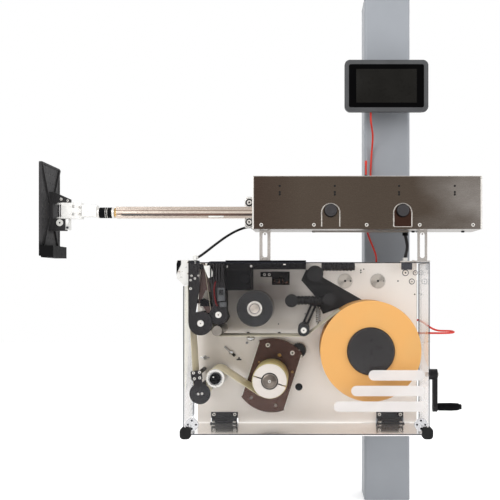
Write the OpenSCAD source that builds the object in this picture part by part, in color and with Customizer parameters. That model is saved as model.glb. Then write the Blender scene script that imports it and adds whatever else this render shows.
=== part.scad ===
// Label printer applicator on a column stand
// Origin at the centre of the column's foot, +Z up, the operator stands on the -Y side.

/* [Column] */
// Width of the square column tube
col_w = 120; // [100:1:150]
// Wall of the column tube
col_wall = 5; // [3:0.5:8]
// Height of the column
col_h = 1320; // [1250:10:1800]
// Outer corner radius of the column tube
col_r = 8; // [5.5:0.5:12]
// Thickness of the foot plate welded inside the tube
foot_t = 20; // [12:1:40]
// Spacing of the tapped foot holes, both ways
foot_pitch = 80; // [70:1:84]
// Core radius of the tapped foot holes, M12
foot_hole_r = 5.1; // [3:0.1:7]

/* [Height adjustment] */
// Module of the rack and pinion
rack_module = 1.5; // [1:0.25:1.5]
// Teeth on the pinion
pinion_teeth = 20; // [18:1:24]
// Teeth on the rack
rack_teeth = 50; // [46:1:60]
// Width of the rack and length of the pinion
rack_w = 15; // [10:1:25]
// Thickness of the rack below its teeth
rack_back = 10; // [6:1:16]
// Play between the flanks, measured along the pitch line
backlash = 0.24; // [0.1:0.02:0.5]
// Height of the crank shaft above the foot
crank_z = 335; // [325:1:345]
// Radius of the crank shaft
crank_shaft_r = 6; // [5:0.5:8]
// Throw of the crank arm
crank_throw = 85; // [60:1:100]
// Length of the turning grip
grip_len = 60; // [40:1:80]
// Radius of the turning grip
grip_r = 10.5; // [8:0.5:14]
// Radial clearance of a shaft in its bore
run_gap = 0.05; // [0.02:0.01:0.1]
// Clearance between parts that pass each other
gap = 0.3; // [0.2:0.05:0.5]

/* [Operator panel] */
// Width of the touch panel
panel_w = 213; // [180:1:240]
// Height of the touch panel
panel_h = 132; // [120:1:160]
// Depth of the touch panel
panel_d = 40; // [30:1:60]
// Width of the viewing area
display_w = 154; // [120:1:170]
// Height of the viewing area
display_h = 86; // [70:1:100]
// Height of the panel's lower edge above the foot
panel_z = 1008; // [960:1:1100]

/* [Printer] */
// Width of the hood over the print and winding gear
hood_w = 567; // [560:1:600]
// Height of the hood
hood_h = 400; // [396:1:420]
// Depth from the base plate to the outside of the hood
hood_d = 190; // [186:1:220]
// Thickness of the clear hood panels
hood_t = 3; // [2:0.5:5]
// Height of the hood's lower edge above the foot
hood_z = 221.5; // [218:0.5:225]
// Thickness of the base plate that carries the rollers
base_t = 4; // [3:0.5:6]
// Depth of the rear housing behind the base plate
rear_d = 54; // [50:1:70]
// Wall of the rear housing
rear_wall = 2.5; // [2:0.5:4]
// Outer radius of the label roll
roll_r = 118; // [80:1:121]
// Width of the label roll
roll_w = 150; // [120:1:156]
// Bore radius of the label core
core_r = 38; // [30:0.5:45]
// Wall of the label core
core_t = 4; // [2:0.5:6]
// Width of the web and the liner
web_w = 123; // [100:1:123]
// Thickness of the web and the liner
web_t = 0.5; // [0.4:0.1:0.8]
// Outer radius of the ribbon supply roll
ribbon_r = 43; // [25:1:46]
// Outer radius of the wound liner
liner_r = 42; // [30:1:50]
// Radius of the rewinder flange
flange_r = 92; // [80:1:96]
// Distance between the two flats of the rewinder flange
flange_flats = 113; // [100:1:130]

/* [Applicator] */
// Length of the applicator housing
box_len = 536.5; // [530:0.5:560]
// Height of the applicator housing
box_h = 126; // [120:1:150]
// Depth of the applicator housing
box_d = 140; // [136:1:160]
// Sheet thickness of the applicator housing
box_t = 2; // [1.5:0.5:3]
// Side length of the square beam
beam_w = 28; // [24:1:32]
// Travel of the beam
beam_travel = 330; // [200:5:334]
// Length of the damper between the beam and its head
damper_len = 47; // [30:1:60]
// Width of the vacuum pad
pad_w = 160; // [120:1:180]
// Height of the vacuum pad
pad_h = 224; // [180:1:240]
// Thickness of the vacuum pad
pad_t = 5; // [4:0.5:12]
// Height of the ribs on the back of the vacuum pad
rib_h = 4; // [2:0.5:8]
// Radius of the pad's hinge pin
pin_r = 5; // [4:0.5:6]

/* [Hidden] */
$fn = 64;

// Column and rack
col_front = -col_w / 2;
pitch_z = PI * rack_module;
pinion_r = rack_module * pinion_teeth / 2;
rack_y = col_front - rack_back - 1.25 * rack_module;
crank_y = rack_y - pinion_r;

// Planes of the machine, from the column forward
pinion_clear = 4.625;
frame_t = 8;
rear_back = crank_y - pinion_r - rack_module - pinion_clear - frame_t;
base_back = rear_back - rear_d;
base_front = base_back - base_t;
hood_front = base_front - hood_d;
hood_x = [-496.5, -496.5 + hood_w];
hood_top = hood_z + hood_h;
floor_t = 2;
plate_low = hood_z + 0.5;
machine_x = [hood_x[0] + hood_t + 7.5, hood_x[1] - hood_t - 3.5];
machine_top = hood_top + 3.5;
cover_top = machine_top + 2;
panel_x = -116;
panel_edge = 11;
panel_back = col_front - 48;
panel_front = panel_back - panel_d;

// Hood hinges, as [y, z]
knuckle_r = 5;
hinge_at = [base_front - knuckle_r - gap, hood_z + 7.8];
hinge_x = [[-452, -385], [-37.5, 30]];

// Carriage round the column
pad_gap = 4;
lip_w = 32;
collar_z = [[250, 310], [520, 580]];
lug_x = [[-36, -24], [62, 74]];
lug_r = crank_shaft_r + 7;

// Shafts and rollers, as [x, z]
roll_at = [-62.6, 414];
ribbon_at = [-335.7, 512.4];
rewind_at = [-299, 344];
dancer_pivot = [-190, 530];
dancer_at = [-219.4, 462.7];
guide_at = [-426, 350];
nip_at = [-461, 315.5];
platen_at = [-459.4, 479.3];
lever_at = [-418.4, 499];
knob_at = [-358, 582];
turn_at = [-422, 461.3];
turn_r = 12;
top_bar_at = [-458, 612];
top_bar_r = 6;
peel_at = [-490, 616];
peel_r = 3;
spring_at = [-183.5, 473, 514.6];
flange_tilt = 17.7;
dancer_r = 14;
guide_r = 22;
nip_r = 15;
platen_r = 26;
shaft_r = 6;
web_gap = gap + web_t / 2;

// Applicator housing
box_x = [-337.5, -337.5 + box_len];
box_z = [701, 701 + box_h];
box_back = base_front - 130 + box_d;
beam_at = [base_front - 55, 745];
beam_x = [-677, -150];
head_pin = [-817, beam_at[0]];
roller_r = 9.5;
roller_z = beam_w / 2 + roller_r + gap;
roller_x = box_x[0] - 14.5;
latch_x = [-155.5, 15.1];
latch_z = 744.6;

// Routes of the cables and hoses
signal_upper_route = [
    [-48, -128, 1013], [-48, -128, 1004], [-48, -127, 995], [-47, -124, 985], [-45, -117, 976],
    [-43, -107, 968], [-41, -96, 960], [-40, -85, 950], [-40, -75, 937], [-41, -68, 921],
    [-42, -65, 903], [-43, -64, 884], [-44, -64, 864], [-44, -64, 844], [-44, -64, 824],
    [-44, -64, 804], [-44, -64, 790]];
signal_lower_route = [
    [-58, -92, 880], [-58, -92, 862], [-58, -92, 844], [-58, -93, 826], [-58, -94, 808],
    [-59, -95, 790], [-59, -96, 772], [-59, -97, 754], [-58, -98, 736], [-57, -100, 718],
    [-54, -103, 701], [-49, -108, 685], [-43, -114, 669], [-38, -121, 655], [-35, -126, 644],
    [-34, -128, 634], [-34, -128, 625]];
front_hose_route = [
    [-341.5, -190, 713], [-348, -190, 713], [-357.7, -191.1, 712.2], [-367.3, -194.4, 710],
    [-376.8, -199.5, 706.5], [-386.1, -206.2, 702], [-395.1, -214.4, 696.6], [-403.9, -223.6, 690.5],
    [-412.5, -233.9, 683.9], [-420.7, -244.8, 676.9], [-428.5, -256.1, 669.8], [-436, -267.6, 662.8],
    [-443, -279.2, 655.9], [-449.6, -290.4, 649.5], [-455.7, -301.2, 643.7], [-461.2, -311.2, 638.6],
    [-466.2, -320.2, 634.5], [-470.5, -328, 631.5]];
rear_hose_route = [
    [34, -184, 701], [34, -184, 693], [36, -184, 684], [38, -184, 674], [39, -184, 664],
    [38, -184, 654], [36, -184, 645], [34, -184, 636], [34, -184, 628]];
power_route = [
    [64, -132, 478], [72, -132, 478], [82, -132, 474], [92, -132, 467], [102, -132, 460.5],
    [112, -132, 455], [122, -132, 451.8], [132, -132, 450.7], [142, -132, 450.5], [151, -132, 450.4],
    [156.5, -133.5, 450], [160.5, -137.5, 449.4], [162, -143, 448.6], [160.5, -148.5, 447.8],
    [156.5, -152.5, 447.1], [151, -154, 446.6], [140, -154, 446.2], [128, -154, 446],
    [115, -154, 446], [102, -154, 446], [89, -154, 446], [76, -154, 446], [64, -154, 446]];

module block(x, y, z) {
    translate([x[0], y[0], z[0]])
        cube([x[1] - x[0], y[1] - y[0], z[1] - z[0]]);
}

// A cylinder along Y at c = [x, z]
module disc_y(c, r, y) {
    translate([c[0], y[1], c[1]]) rotate([90, 0, 0]) cylinder(h = y[1] - y[0], r = r);
}

// A cylinder along X at c = [y, z]
module disc_x(c, r, x) {
    translate([x[0], c[0], c[1]]) rotate([0, 90, 0]) cylinder(h = x[1] - x[0], r = r);
}

// A cylinder along Z at c = [x, y]
module disc_z(c, r, z) {
    translate([c[0], c[1], z[0]]) cylinder(h = z[1] - z[0], r = r);
}

// A flat outline drawn in X and Z, made thick along Y
module along_y(y) {
    translate([0, y[1], 0]) rotate([90, 0, 0]) linear_extrude(y[1] - y[0]) children();
}

// The same, from d[0] to d[1] in front of the base plate's face
module proud(d) {
    along_y([base_front - d[1], base_front - d[0]]) children();
}

// A cylinder at c = [x, z] from d[0] to d[1] in front of the base plate's face
module disc(c, r, d, bore = 0) {
    difference() {
        disc_y(c, r, [base_front - d[1], base_front - d[0]]);
        if (bore > 0) disc_y(c, bore, [base_front - d[1] - 1, base_front - d[0] + 1]);
    }
}

// An outline in radius and distance from the base plate, turned about the axis at c
module turned(c) {
    translate([c[0], base_front, c[1]]) rotate([90, 0, 0]) rotate_extrude() children();
}

// A flat outline drawn in Y and Z, made thick along X
module along_x(x) {
    translate([x[0], 0, 0]) rotate([90, 0, 90]) linear_extrude(x[1] - x[0]) children();
}

// A flat outline drawn in X and Y, made thick along Z
module along_z(z) {
    translate([0, 0, z[0]]) linear_extrude(z[1] - z[0]) children();
}

module rect(x, y) {
    translate([x[0], y[0]]) square([x[1] - x[0], y[1] - y[0]]);
}

module rounded(x, y, r) {
    rect([x[0] + r, x[1] - r], y);
    rect(x, [y[0] + r, y[1] - r]);
    for (cx = [x[0] + r, x[1] - r], cy = [y[0] + r, y[1] - r])
        translate([cx, cy]) circle(r);
}

// A bar with round ends between two points, its straight sides a hair inside the ends
module bar(a, b, w) {
    turn = atan2(b[1] - a[1], b[0] - a[0]);
    side = w - 0.04;
    translate(a) rotate(turn) translate([0, -side / 2]) square([norm(b - a), side]);
    for (p = [a, b]) translate(p) circle(w / 2);
}

function unit(v) = v / norm(v);
function left_of(v) = [-v[1], v[0]];
function arc(c, r, from, to, steps) =
    [for (i = [0:steps]) let (a = from + (to - from) * i / steps) c + r * [cos(a), sin(a)]];
function way_in(p, i) = unit(p[max(i, 1)] - p[max(i, 1) - 1]);
function way_out(p, i) = let (j = min(i, len(p) - 2)) unit(p[j + 1] - p[j]);
function side_of(p, i) = unit(left_of(way_in(p, i) + way_out(p, i)));

// A strip of constant thickness along a path of points
module strip(p, t) {
    last = len(p) - 1;
    polygon(concat(
        [for (i = [0:last]) p[i] + side_of(p, i) * t / 2],
        [for (i = [last:-1:0]) p[i] - side_of(p, i) * t / 2]));
}

// A round tube swept along points in space, with its rings turned from one steady direction
module tube(p, r, sides, steady) {
    last = len(p) - 1;
    points = [for (i = [0:last])
        let (d = unit(way_in(p, i) + way_out(p, i)),
             u = unit(cross(d, steady)),
             v = cross(d, u))
        for (k = [0:sides - 1]) p[i] + r * (cos(360 * k / sides) * u + sin(360 * k / sides) * v)];
    walls = [for (i = [0:last - 1], k = [0:sides - 1])
        let (a = i * sides + k, b = i * sides + (k + 1) % sides)
        each [[a, a + sides, b + sides], [a, b + sides, b]]];
    start = [for (k = [0:sides - 1]) k];
    end = [for (k = [sides - 1:-1:0]) last * sides + k];
    polyhedron(points, concat([start], walls, [end]));
}

module column() color("#a0a5ac") {
    hole_at = foot_pitch / 2;
    inner = col_w / 2 - col_wall;
    along_z([0, col_h]) difference() {
        rounded([-col_w / 2, col_w / 2], [-col_w / 2, col_w / 2], col_r);
        rounded([-inner, inner], [-inner, inner], col_r - col_wall);
    }
    along_z([0, foot_t]) difference() {
        rounded([-inner, inner], [-inner, inner], col_r - col_wall);
        for (x = [-hole_at, hole_at], y = [-hole_at, hole_at])
            translate([x, y]) circle(foot_hole_r);
    }
}

module column_cap() color("#2b2d30") {
    inner = col_w / 2 - col_wall - gap;
    along_z([col_h, col_h + 3])
        rounded([-col_w / 2, col_w / 2], [-col_w / 2, col_w / 2], col_r);
    along_z([col_h - 18, col_h]) difference() {
        rounded([-inner, inner], [-inner, inner], 2);
        rounded([3 - inner, inner - 3], [3 - inner, inner - 3], 1);
    }
}

// Rack: straight-flanked teeth pointing forward, with a space facing the pinion
module gear_rack() color("#8d8f92") {
    slope = tan(20);
    tip = pitch_z / 4 - rack_module * slope - backlash / 4;
    root = pitch_z / 4 + 1.25 * rack_module * slope - backlash / 4;
    low = crank_z - floor(rack_teeth / 2) * pitch_z;
    high = low + rack_teeth * pitch_z;
    root_y = rack_y + 1.25 * rack_module;
    tip_y = rack_y - rack_module;
    teeth = [for (i = [0:rack_teeth - 1])
        let (z = low + (i + 0.5) * pitch_z)
        each [[root_y, z - root], [tip_y, z - tip], [tip_y, z + tip], [root_y, z + root]]];
    along_x([-rack_w / 2, rack_w / 2])
        polygon(concat([[col_front, low], [root_y, low]], teeth, [[root_y, high], [col_front, high]]));
}

// One flank of an involute tooth, from the root to the tip
function involute(base, r) = sqrt(r * r / (base * base) - 1) * 180 / PI - acos(base / r);

module pinion_outline() {
    base = pinion_r * cos(20);
    root = pinion_r - 1.25 * rack_module;
    tip = pinion_r + rack_module;
    half = 90 / pinion_teeth - backlash / 4 / pinion_r * 180 / PI + involute(base, pinion_r);
    radii = [for (i = [0:5]) base + (tip - base) * i / 5];
    polygon([for (i = [0:pinion_teeth - 1])
        let (mid = i * 360 / pinion_teeth)
        each concat(
            [root * [cos(mid - half), sin(mid - half)]],
            [for (r = radii)
                let (a = mid - half + involute(base, r))
                r * [cos(a), sin(a)]],
            [for (j = [5:-1:0])
                let (a = mid + half - involute(base, radii[j]))
                radii[j] * [cos(a), sin(a)]],
            [root * [cos(mid + half), sin(mid + half)]])]);
}

module pinion_shaft() color("#b9babc") {
    translate([0, crank_y, crank_z]) along_x([-rack_w / 2, rack_w / 2]) pinion_outline();
    disc_x([crank_y, crank_z], crank_shaft_r, [lug_x[0][0] - 3, 128]);
    disc_x([crank_y, crank_z], crank_shaft_r + 3, [lug_x[1][1] + gap, lug_x[1][1] + 5]);
}

module crank_arm() color("#232426") {
    top = [crank_y, crank_z];
    low = [crank_y, crank_z - crank_throw];
    difference() {
        union() {
            disc_x(top, 14, [108, 116]);
            along_x([116, 128]) {
                bar(top, low, 20);
                translate(top) circle(14);
                translate(low) circle(13);
            }
        }
        disc_x(top, crank_shaft_r + run_gap, [100, 130]);
    }
    disc_x(low, 4, [128, 129 + grip_len]);
    disc_x(low, 7, [128 + grip_len + gap, 131 + grip_len]);
}

module crank_grip() color("#1b1c1e") {
    translate([128 + gap, crank_y, crank_z - crank_throw]) rotate([0, 90, 0])
        rotate_extrude() polygon([
            [4 + run_gap, 0], [grip_r - 2, 0], [grip_r - 0.5, 4], [grip_r, grip_len * 0.6],
            [grip_r - 1, grip_len - 6], [grip_r - 4, grip_len - 0.5], [4 + run_gap, grip_len - 0.5]]);
}

// Welded frame that slides on the column
module carriage_frame() color("#3a3d42") {
    outer = col_w / 2 + pad_gap + frame_t;
    inner = col_w / 2 + pad_gap;
    front = [rear_back, rear_back + frame_t];
    difference() {
        union() {
            block([-outer, outer], front, [collar_z[0][0], collar_z[1][1]]);
            for (z = collar_z) {
                for (side = [-1, 1]) {
                    x = side > 0 ? [inner, outer] : [-outer, -inner];
                    lip = side > 0 ? [outer - lip_w, outer] : [-outer, lip_w - outer];
                    rib = side > 0 ? [30, inner] : [-inner, -30];
                    block(x, [front[1], outer], z);
                    block(lip, [inner, outer], z);
                    block(rib, [front[1], col_front - pad_gap], z);
                }
            }
            for (x = lug_x) {
                disc_x([crank_y, crank_z], lug_r, x);
                block(x, [front[1], crank_y], [crank_z - lug_r, crank_z + lug_r]);
            }
        }
        disc_x([crank_y, crank_z], crank_shaft_r + run_gap, [lug_x[0][0] - 1, lug_x[1][1] + 1]);
    }
}

// Plastic liners between the carriage and the column
module slide_pads() color("#d8d6cf") {
    half = col_w / 2;
    for (z = collar_z, side = [-1, 1]) {
        x = side > 0 ? [half + gap, half + pad_gap] : [-half - pad_gap, -half - gap];
        wide = side > 0 ? [half - 22, half - 2] : [2 - half, 22 - half];
        block(x, [-half + 8, half - 8], z);
        block(wide, [half + gap, half + pad_gap], z);
        block(wide, [-half - pad_gap, -half - gap], z);
    }
}

module panel_bracket() color("#3c3e42") {
    mid = panel_z + panel_h / 2;
    block([-50, 50], [col_front - 6, col_front], [mid - 35, mid + 35]);
    block([-32, 32], [panel_back, col_front - 6], [mid - 24, mid + 24]);
}

module panel_housing() color("#55575a") {
    x = [panel_x, panel_x + panel_w];
    z = [panel_z, panel_z + panel_h];
    difference() {
        union() {
            along_y([panel_front, panel_front + 10]) rounded(x, z, 14);
            along_y([panel_front + 10, panel_back]) rounded([x[0] + 5, x[1] - 5], [z[0] + 5, z[1] - 5], 10);
        }
        along_y([panel_front - 1, panel_front + 2.5])
            rounded([x[0] + panel_edge, x[1] - panel_edge], [z[0] + panel_edge, z[1] - panel_edge], 5);
    }
}

module panel_glass() color("#0e0f11") {
    inset = panel_edge + gap;
    x = [panel_x + inset, panel_x + panel_w - inset];
    z = [panel_z + inset, panel_z + panel_h - inset];
    mid = [(x[0] + x[1]) / 2, (z[0] + z[1]) / 2];
    difference() {
        along_y([panel_front, panel_front + 2.5]) rounded(x, z, 5 - gap);
        along_y([panel_front - 1, panel_front + 0.4])
            rect([mid[0] - display_w / 2, mid[0] + display_w / 2],
                [mid[1] - display_h / 2, mid[1] + display_h / 2]);
    }
}

// Mild steel plate that carries every roller, with its windows and shaft holes
module base_plate() color("#cdc6be") {
    proud([-base_t, 0]) difference() {
        rect(machine_x, [plate_low, machine_top]);
        rect([-300, -255], [568, 601.5]);
        for (x = hinge_x) rect([x[0] - 1, x[1] + 1], [plate_low - 1, hinge_at[1] + knuckle_r]);
        for (hole = [[-232, 312, 9.3], [rewind_at[0], rewind_at[1], 12], [platen_at[0], platen_at[1], 9]])
            translate([hole[0], hole[1]]) circle(hole[2]);
    }
    disc(rewind_at, 24, [0, 6], 8 + run_gap);
    for (x = [-116, -33.5]) disc([x, 578], 18, [0, 3], 3);
    proud([0, 22]) rect([22, 46], [612, 628]);
}

// Closed sheet-metal housing behind the base plate
module rear_housing() color("#4a4c50") {
    low = 236;
    difference() {
        block(machine_x, [base_back, rear_back], [low, machine_top]);
        block([machine_x[0] + rear_wall, machine_x[1] - rear_wall],
            [base_back - 1, rear_back - rear_wall], [low + rear_wall, machine_top - rear_wall]);
    }
}

// Gear motors of the rewinder and the platen, flanged to the back of the base plate
module drive_motors() color("#2e3033") {
    for (m = [[rewind_at, 28, 8], [platen_at, 18, shaft_r]]) {
        at = m[0];
        half = m[1];
        difference() {
            union() {
                proud([-34, -base_t]) rounded([at[0] - half, at[0] + half], [at[1] - half, at[1] + half], 4);
                disc(at, half - 3, [-44, -34]);
            }
            disc(at, m[2] + run_gap, [-24, 0]);
        }
    }
}

// Fixed shafts and bars that stand on the base plate
module roller_shafts() color("#c3c4c6") {
    shafts = [
        [roll_at, 10, 158], [ribbon_at, shaft_r, 124], [guide_at, shaft_r, 158], [nip_at, shaft_r, 160]];
    for (s = shafts) {
        disc(s[0], s[1] + 8, [0, 4]);
        disc(s[0], s[1], [4, s[2]]);
    }
    disc(guide_at, 13, [158, 161]);
    disc(turn_at, turn_r, [0, 160]);
    disc(dancer_pivot, 5, [0, 15]);
    disc(dancer_pivot, 8, [14 + gap, 18]);
    disc([spring_at[0], spring_at[1] - 3], 3, [0, 30]);
}

module unwind_hub() color("#2a2b2d") {
    sleeve = core_r - 0.1;
    turned(roll_at) polygon([
        [10 + run_gap, 7], [60, 7], [60, 10], [sleeve, 10], [sleeve, 10 + roll_w], [sleeve - 4, 10 + roll_w],
        [sleeve - 4, 14], [16, 14], [16, 150], [10 + run_gap, 150]]);
}

// Wound labels on their cardboard core
module label_roll() {
    color("#f3ba6e") disc(roll_at, roll_r, [10, 10 + roll_w], core_r + core_t);
    color("#b08a5c") disc(roll_at, core_r + core_t, [10, 10 + roll_w], core_r);
}

module hub_cap() color("#1e1f21") {
    turned(roll_at) polygon([
        [0, 10 + roll_w], [56, 10 + roll_w], [56, 13 + roll_w], [53, 16 + roll_w], [30, 16.6 + roll_w],
        [26, 15.4 + roll_w], [0, 15.4 + roll_w]]);
}

module ribbon_hub() color("#c9cacc") {
    turned(ribbon_at) polygon([
        [shaft_r + run_gap, 5], [24, 5], [24, 7], [16.9, 7], [16.9, 126], [18, 126], [18, 129], [15, 131],
        [0, 131], [0, 125], [shaft_r + run_gap, 125]]);
}

module ribbon_roll() color("#151517") {
    disc(ribbon_at, ribbon_r, [7 + gap, 126 - gap], 17);
}

// Driven mandrel with a split clamping disc at its front
module rewind_mandrel() color("#e9e8e4") {
    disc(rewind_at, 8, [-20, 24]);
    disc(rewind_at, 14, [6 + gap, 24]);
    difference() {
        union() {
            disc(rewind_at, 30, [26, 152]);
            disc(rewind_at, 40, [152, 160]);
        }
        translate([rewind_at[0], 0, rewind_at[1]]) rotate([0, flange_tilt, 0])
            translate([-50, base_front - 161, -1.5]) cube([100, 120, 3]);
        disc(rewind_at, 20, [156, 161]);
    }
    disc(rewind_at, 8, [24, 26]);
    disc(rewind_at, 17, [140, 163]);
}

// Round flange with two flats and a turned-up lip along each
module rewind_flange() color("#5a4640") {
    half = flange_flats / 2;
    reach = sqrt(flange_r * flange_r - half * half);
    translate([rewind_at[0], 0, rewind_at[1]]) rotate([0, flange_tilt, 0]) {
        difference() {
            proud([24, 26]) intersection() {
                circle(flange_r);
                rect([-half, half], [-flange_r, flange_r]);
            }
            disc([0, 0], 8 + run_gap, [23, 27]);
            for (x = [-32, 32], z = [-69, 69]) disc([x, z], z > 0 ? 2.5 : 4, [23, 27]);
        }
        for (side = [-1, 1])
            proud([26, 30.5]) rect(side > 0 ? [half - 2, half] : [-half, 2 - half], [-reach + 3, reach - 3]);
    }
}

module liner_roll() color("#b9a869") {
    disc(rewind_at, liner_r, [31, 151], 30.1);
}

// Slotted arm that keeps the web tight
module dancer_arm() color("#1f2022") {
    along = unit(dancer_at - dancer_pivot);
    ear = [spring_at[0], spring_at[2] + 3];
    difference() {
        proud([8, 14]) {
            bar(dancer_pivot, dancer_at, 16);
            bar(dancer_pivot, ear, 9);
        }
        disc(dancer_pivot, 5 + run_gap, [7, 15]);
        proud([7, 15]) bar(dancer_pivot + along * 18, dancer_at - along * 16, 5);
    }
    disc(dancer_at, 5, [14, 159]);
    disc(ear, 3, [14, 30]);
}

module dancer_roller() color("#2a2b2e") {
    turned(dancer_at) polygon([
        [5 + run_gap, 20], [dancer_r - 1, 20], [dancer_r, 21], [dancer_r, 156], [dancer_r - 1, 157],
        [5 + run_gap, 157]]);
}

module dancer_spring() color("#b4b5b7") {
    turns = 8;
    rings = turns * 10;
    low = spring_at[1] + 1.4;
    high = spring_at[2] - 1.4;
    coil = [for (i = [0:rings])
        let (a = 360 * turns * i / rings,
             r = 5.8 * min(1, i / 3, (rings - i) / 3))
        [spring_at[0] + r * cos(a), base_front - 22 + r * sin(a), low + (high - low) * i / rings]];
    tube(coil, 1.1, 6, [0, 0, 1]);
}

module guide_roller() color("#bfc0c2") {
    turned(guide_at) polygon([
        [shaft_r + run_gap, 6], [guide_r - 1, 6], [guide_r, 7], [guide_r, 156], [guide_r - 1, 157],
        [16, 157], [16, 150], [shaft_r + run_gap, 150]]);
}

module nip_roller() color("#2c2d30") {
    turned(nip_at) polygon([
        [shaft_r + run_gap, 6], [nip_r - 1, 6], [nip_r, 7], [nip_r, 155], [nip_r - 1, 156],
        [shaft_r + run_gap, 156]]);
}

// Front plate that ties the nip roller's shaft to its stand-off
module nip_bracket() color("#1d1e20") {
    block_at = [-469, 358];
    proud([160, 165]) {
        translate(nip_at) circle(24.5);
        bar(nip_at, block_at, 20);
        translate(block_at) rotate(7) rounded([-13, 13], [-11, 11], 3);
    }
    disc(block_at, 5, [0, 160]);
}

module platen_roller() color("#202123") {
    disc(platen_at, platen_r, [12, 154]);
    disc(platen_at, shaft_r, [-22, 12]);
    disc(platen_at, shaft_r, [154, 166]);
}

// Front side plate of the print unit on its stand-offs
module print_side_plate() color("#27282b") {
    top = machine_top + 0.5;
    difference() {
        union() {
            proud([160, 165]) {
                translate(platen_at) circle(28);
                polygon([
                    [platen_at[0] - 28.6, platen_at[1]], [-475, platen_at[1]], [-462, 560], [-462, top],
                    [-488, top]]);
            }
            disc(top_bar_at, top_bar_r, [0, 160]);
            disc([-470, 530], 5, [0, 160]);
        }
        disc(platen_at, shaft_r + run_gap, [159, 166]);
    }
}

// Print head with its lever plate, heat sink and pivot rod
module print_head() color("#1a1b1d") {
    fins = 5;
    pitch = 6.6;
    disc(lever_at, shaft_r, [0, 31]);
    disc([-421, 600], shaft_r, [0, 31]);
    proud([31, 155]) polygon([
        [-430.6, 477], [-429.6, 494], [-433, 575], [-436, 590], [-436, 619], [-407, 619], [-407, 505],
        [-402, 490], [-409, 477]]);
    proud([155, 159.5]) {
        translate(lever_at) circle(21);
        polygon([[-431, 515], [-440, 619], [-407, 619], [-399, 505]]);
    }
    for (i = [0:fins - 1])
        block([-437 + i * pitch, -434 + i * pitch], [base_front - 170, base_front - 159.5], [577, 618]);
}

// Black cover over the drive, with the cable channel that runs on from it
module top_cover() color("#25262a") {
    wall = 2.5;
    difference() {
        proud([0, 126]) union() {
            rect([-405, -214], [607, cover_top]);
            rect([-405, -346], [556, 620]);
        }
        proud([-1, 126 - wall]) union() {
            rect([-405 + wall, -214 - wall], [607 + wall, cover_top - wall]);
            rect([-405 + wall, -346 - wall], [556 + wall, 620]);
        }
        disc(knob_at, 4 + run_gap, [120, 127]);
    }
}

module tension_knob() color("#17181a") {
    turned(knob_at) polygon([
        [0, 118], [7, 118], [7, 122], [4, 122], [4, 126 + gap], [12, 126 + gap], [12, 138],
        [10.5, 140], [0, 140]]);
}

// Bright plates that hold the peel bar
module peel_bracket() color("#d9d8d4") {
    proud([157, 160]) polygon([
        [-516, 627], [-516, 585], [-500, 568], [-476, 568], [-476, 605], [-466, 618], [-466, 627]]);
    disc(peel_at, peel_r, [27, 157]);
    disc_z([-473.5, base_front - 159.5], 4.5, [626, 636]);
    proud([24, 27]) difference() {
        rounded([-500, top_bar_at[0] + 10], [600, 624], 4);
        translate(top_bar_at) circle(top_bar_r + run_gap);
    }
}

// Centre line of a web over rollers given as [x, z, radius], the radius above 0 where
// the roller lies on the left of the web's way and below 0 where it lies on the right
function lead(a, b) = let (d = [b[0] - a[0], b[1] - a[1]])
    atan2(d[1], d[0]) + acos((b[2] - a[2]) / norm(d));
function touch(c, angle) = [c[0], c[1]] - c[2] * [cos(angle), sin(angle)];
function turned_by(angle, side) = side > 0 ? (angle % 360 + 360) % 360 : -((-angle % 360 + 360) % 360);
function around(a, c, b) = let (
        start = lead(a, c),
        turn = turned_by(lead(c, b) - start, c[2]),
        steps = max(1, ceil(abs(turn) / 15)))
    [for (i = [0:steps]) touch(c, start + turn * i / steps)];
function web_path(r) = let (last = len(r) - 1)
    [for (k = [0:last]) each
        k == 0 ? [touch(r[0], lead(r[0], r[1]))]
        : k == last ? [touch(r[last], lead(r[last - 1], r[last]))]
        : around(r[k - 1], r[k], r[k + 1])];
function over(at, r) = [at[0], at[1], r + web_gap];
function under(at, r) = [at[0], at[1], -r - web_gap];

module label_web() color("#e8dfc4") {
    proud([31, 31 + web_w]) strip(web_path([
        over(roll_at, roll_r), under(dancer_at, dancer_r), under(turn_at, turn_r), over(platen_at, platen_r),
        over(top_bar_at, top_bar_r), [peel_at[0] + 4, peel_at[1] + peel_r + web_gap, 0]]), web_t);
}

module liner_web() color("#d7c896") {
    proud([31, 31 + web_w]) strip(web_path([
        [peel_at[0] + 3, peel_at[1] + peel_r + web_gap, 0], over(peel_at, peel_r), over(nip_at, nip_r),
        under(guide_at, guide_r), over(rewind_at, liner_r)]), web_t);
}

// Jointed black cable arm on its gusset plate
module cable_arm() color("#18191b") {
    joints = [[[-191.7, 595.8], 20, 60], [[-156.4, 532.7], 16, 56], [[-249.5, 529.5], 16, 56]];
    proud([0, 4]) difference() {
        polygon([
            [-226, 580], [-214, 606], [-190, 606], [-168.9, 585.5], [-74.4, 531.6], [-171.4, 495.3],
            [-194, 542.9]]);
        translate(dancer_pivot) circle(9);
    }
    for (j = joints) {
        disc(j[0], j[1], [20, j[2]]);
        disc(j[0], j[1] - 6, [0, 20]);
    }
    ribbed([-236, -168], 530.5, 40, 11);
    ribbed([-176, -94], 613.5, 44, 10.8);
    disc([-98, 613.5], 5, [0, 44]);
}

// Corrugated conduit along X at height z and distance d from the base plate
module ribbed(x, z, d, r) {
    pitch = 8.5;
    ribs = floor((x[1] - x[0]) / pitch);
    start = [[0, 0], [r - 1.8, 0]];
    wave = [for (i = [0:ribs - 1]) let (s = i * pitch)
        each [[r - 1.8, s + 1], [r, s + 2], [r, s + 6.5], [r - 1.8, s + 7.5]]];
    translate([x[0], base_front - d, z]) rotate([0, 90, 0])
        rotate_extrude() polygon(concat(start, wave, [[r - 1.8, x[1] - x[0]], [0, x[1] - x[0]]]));
}

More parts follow.
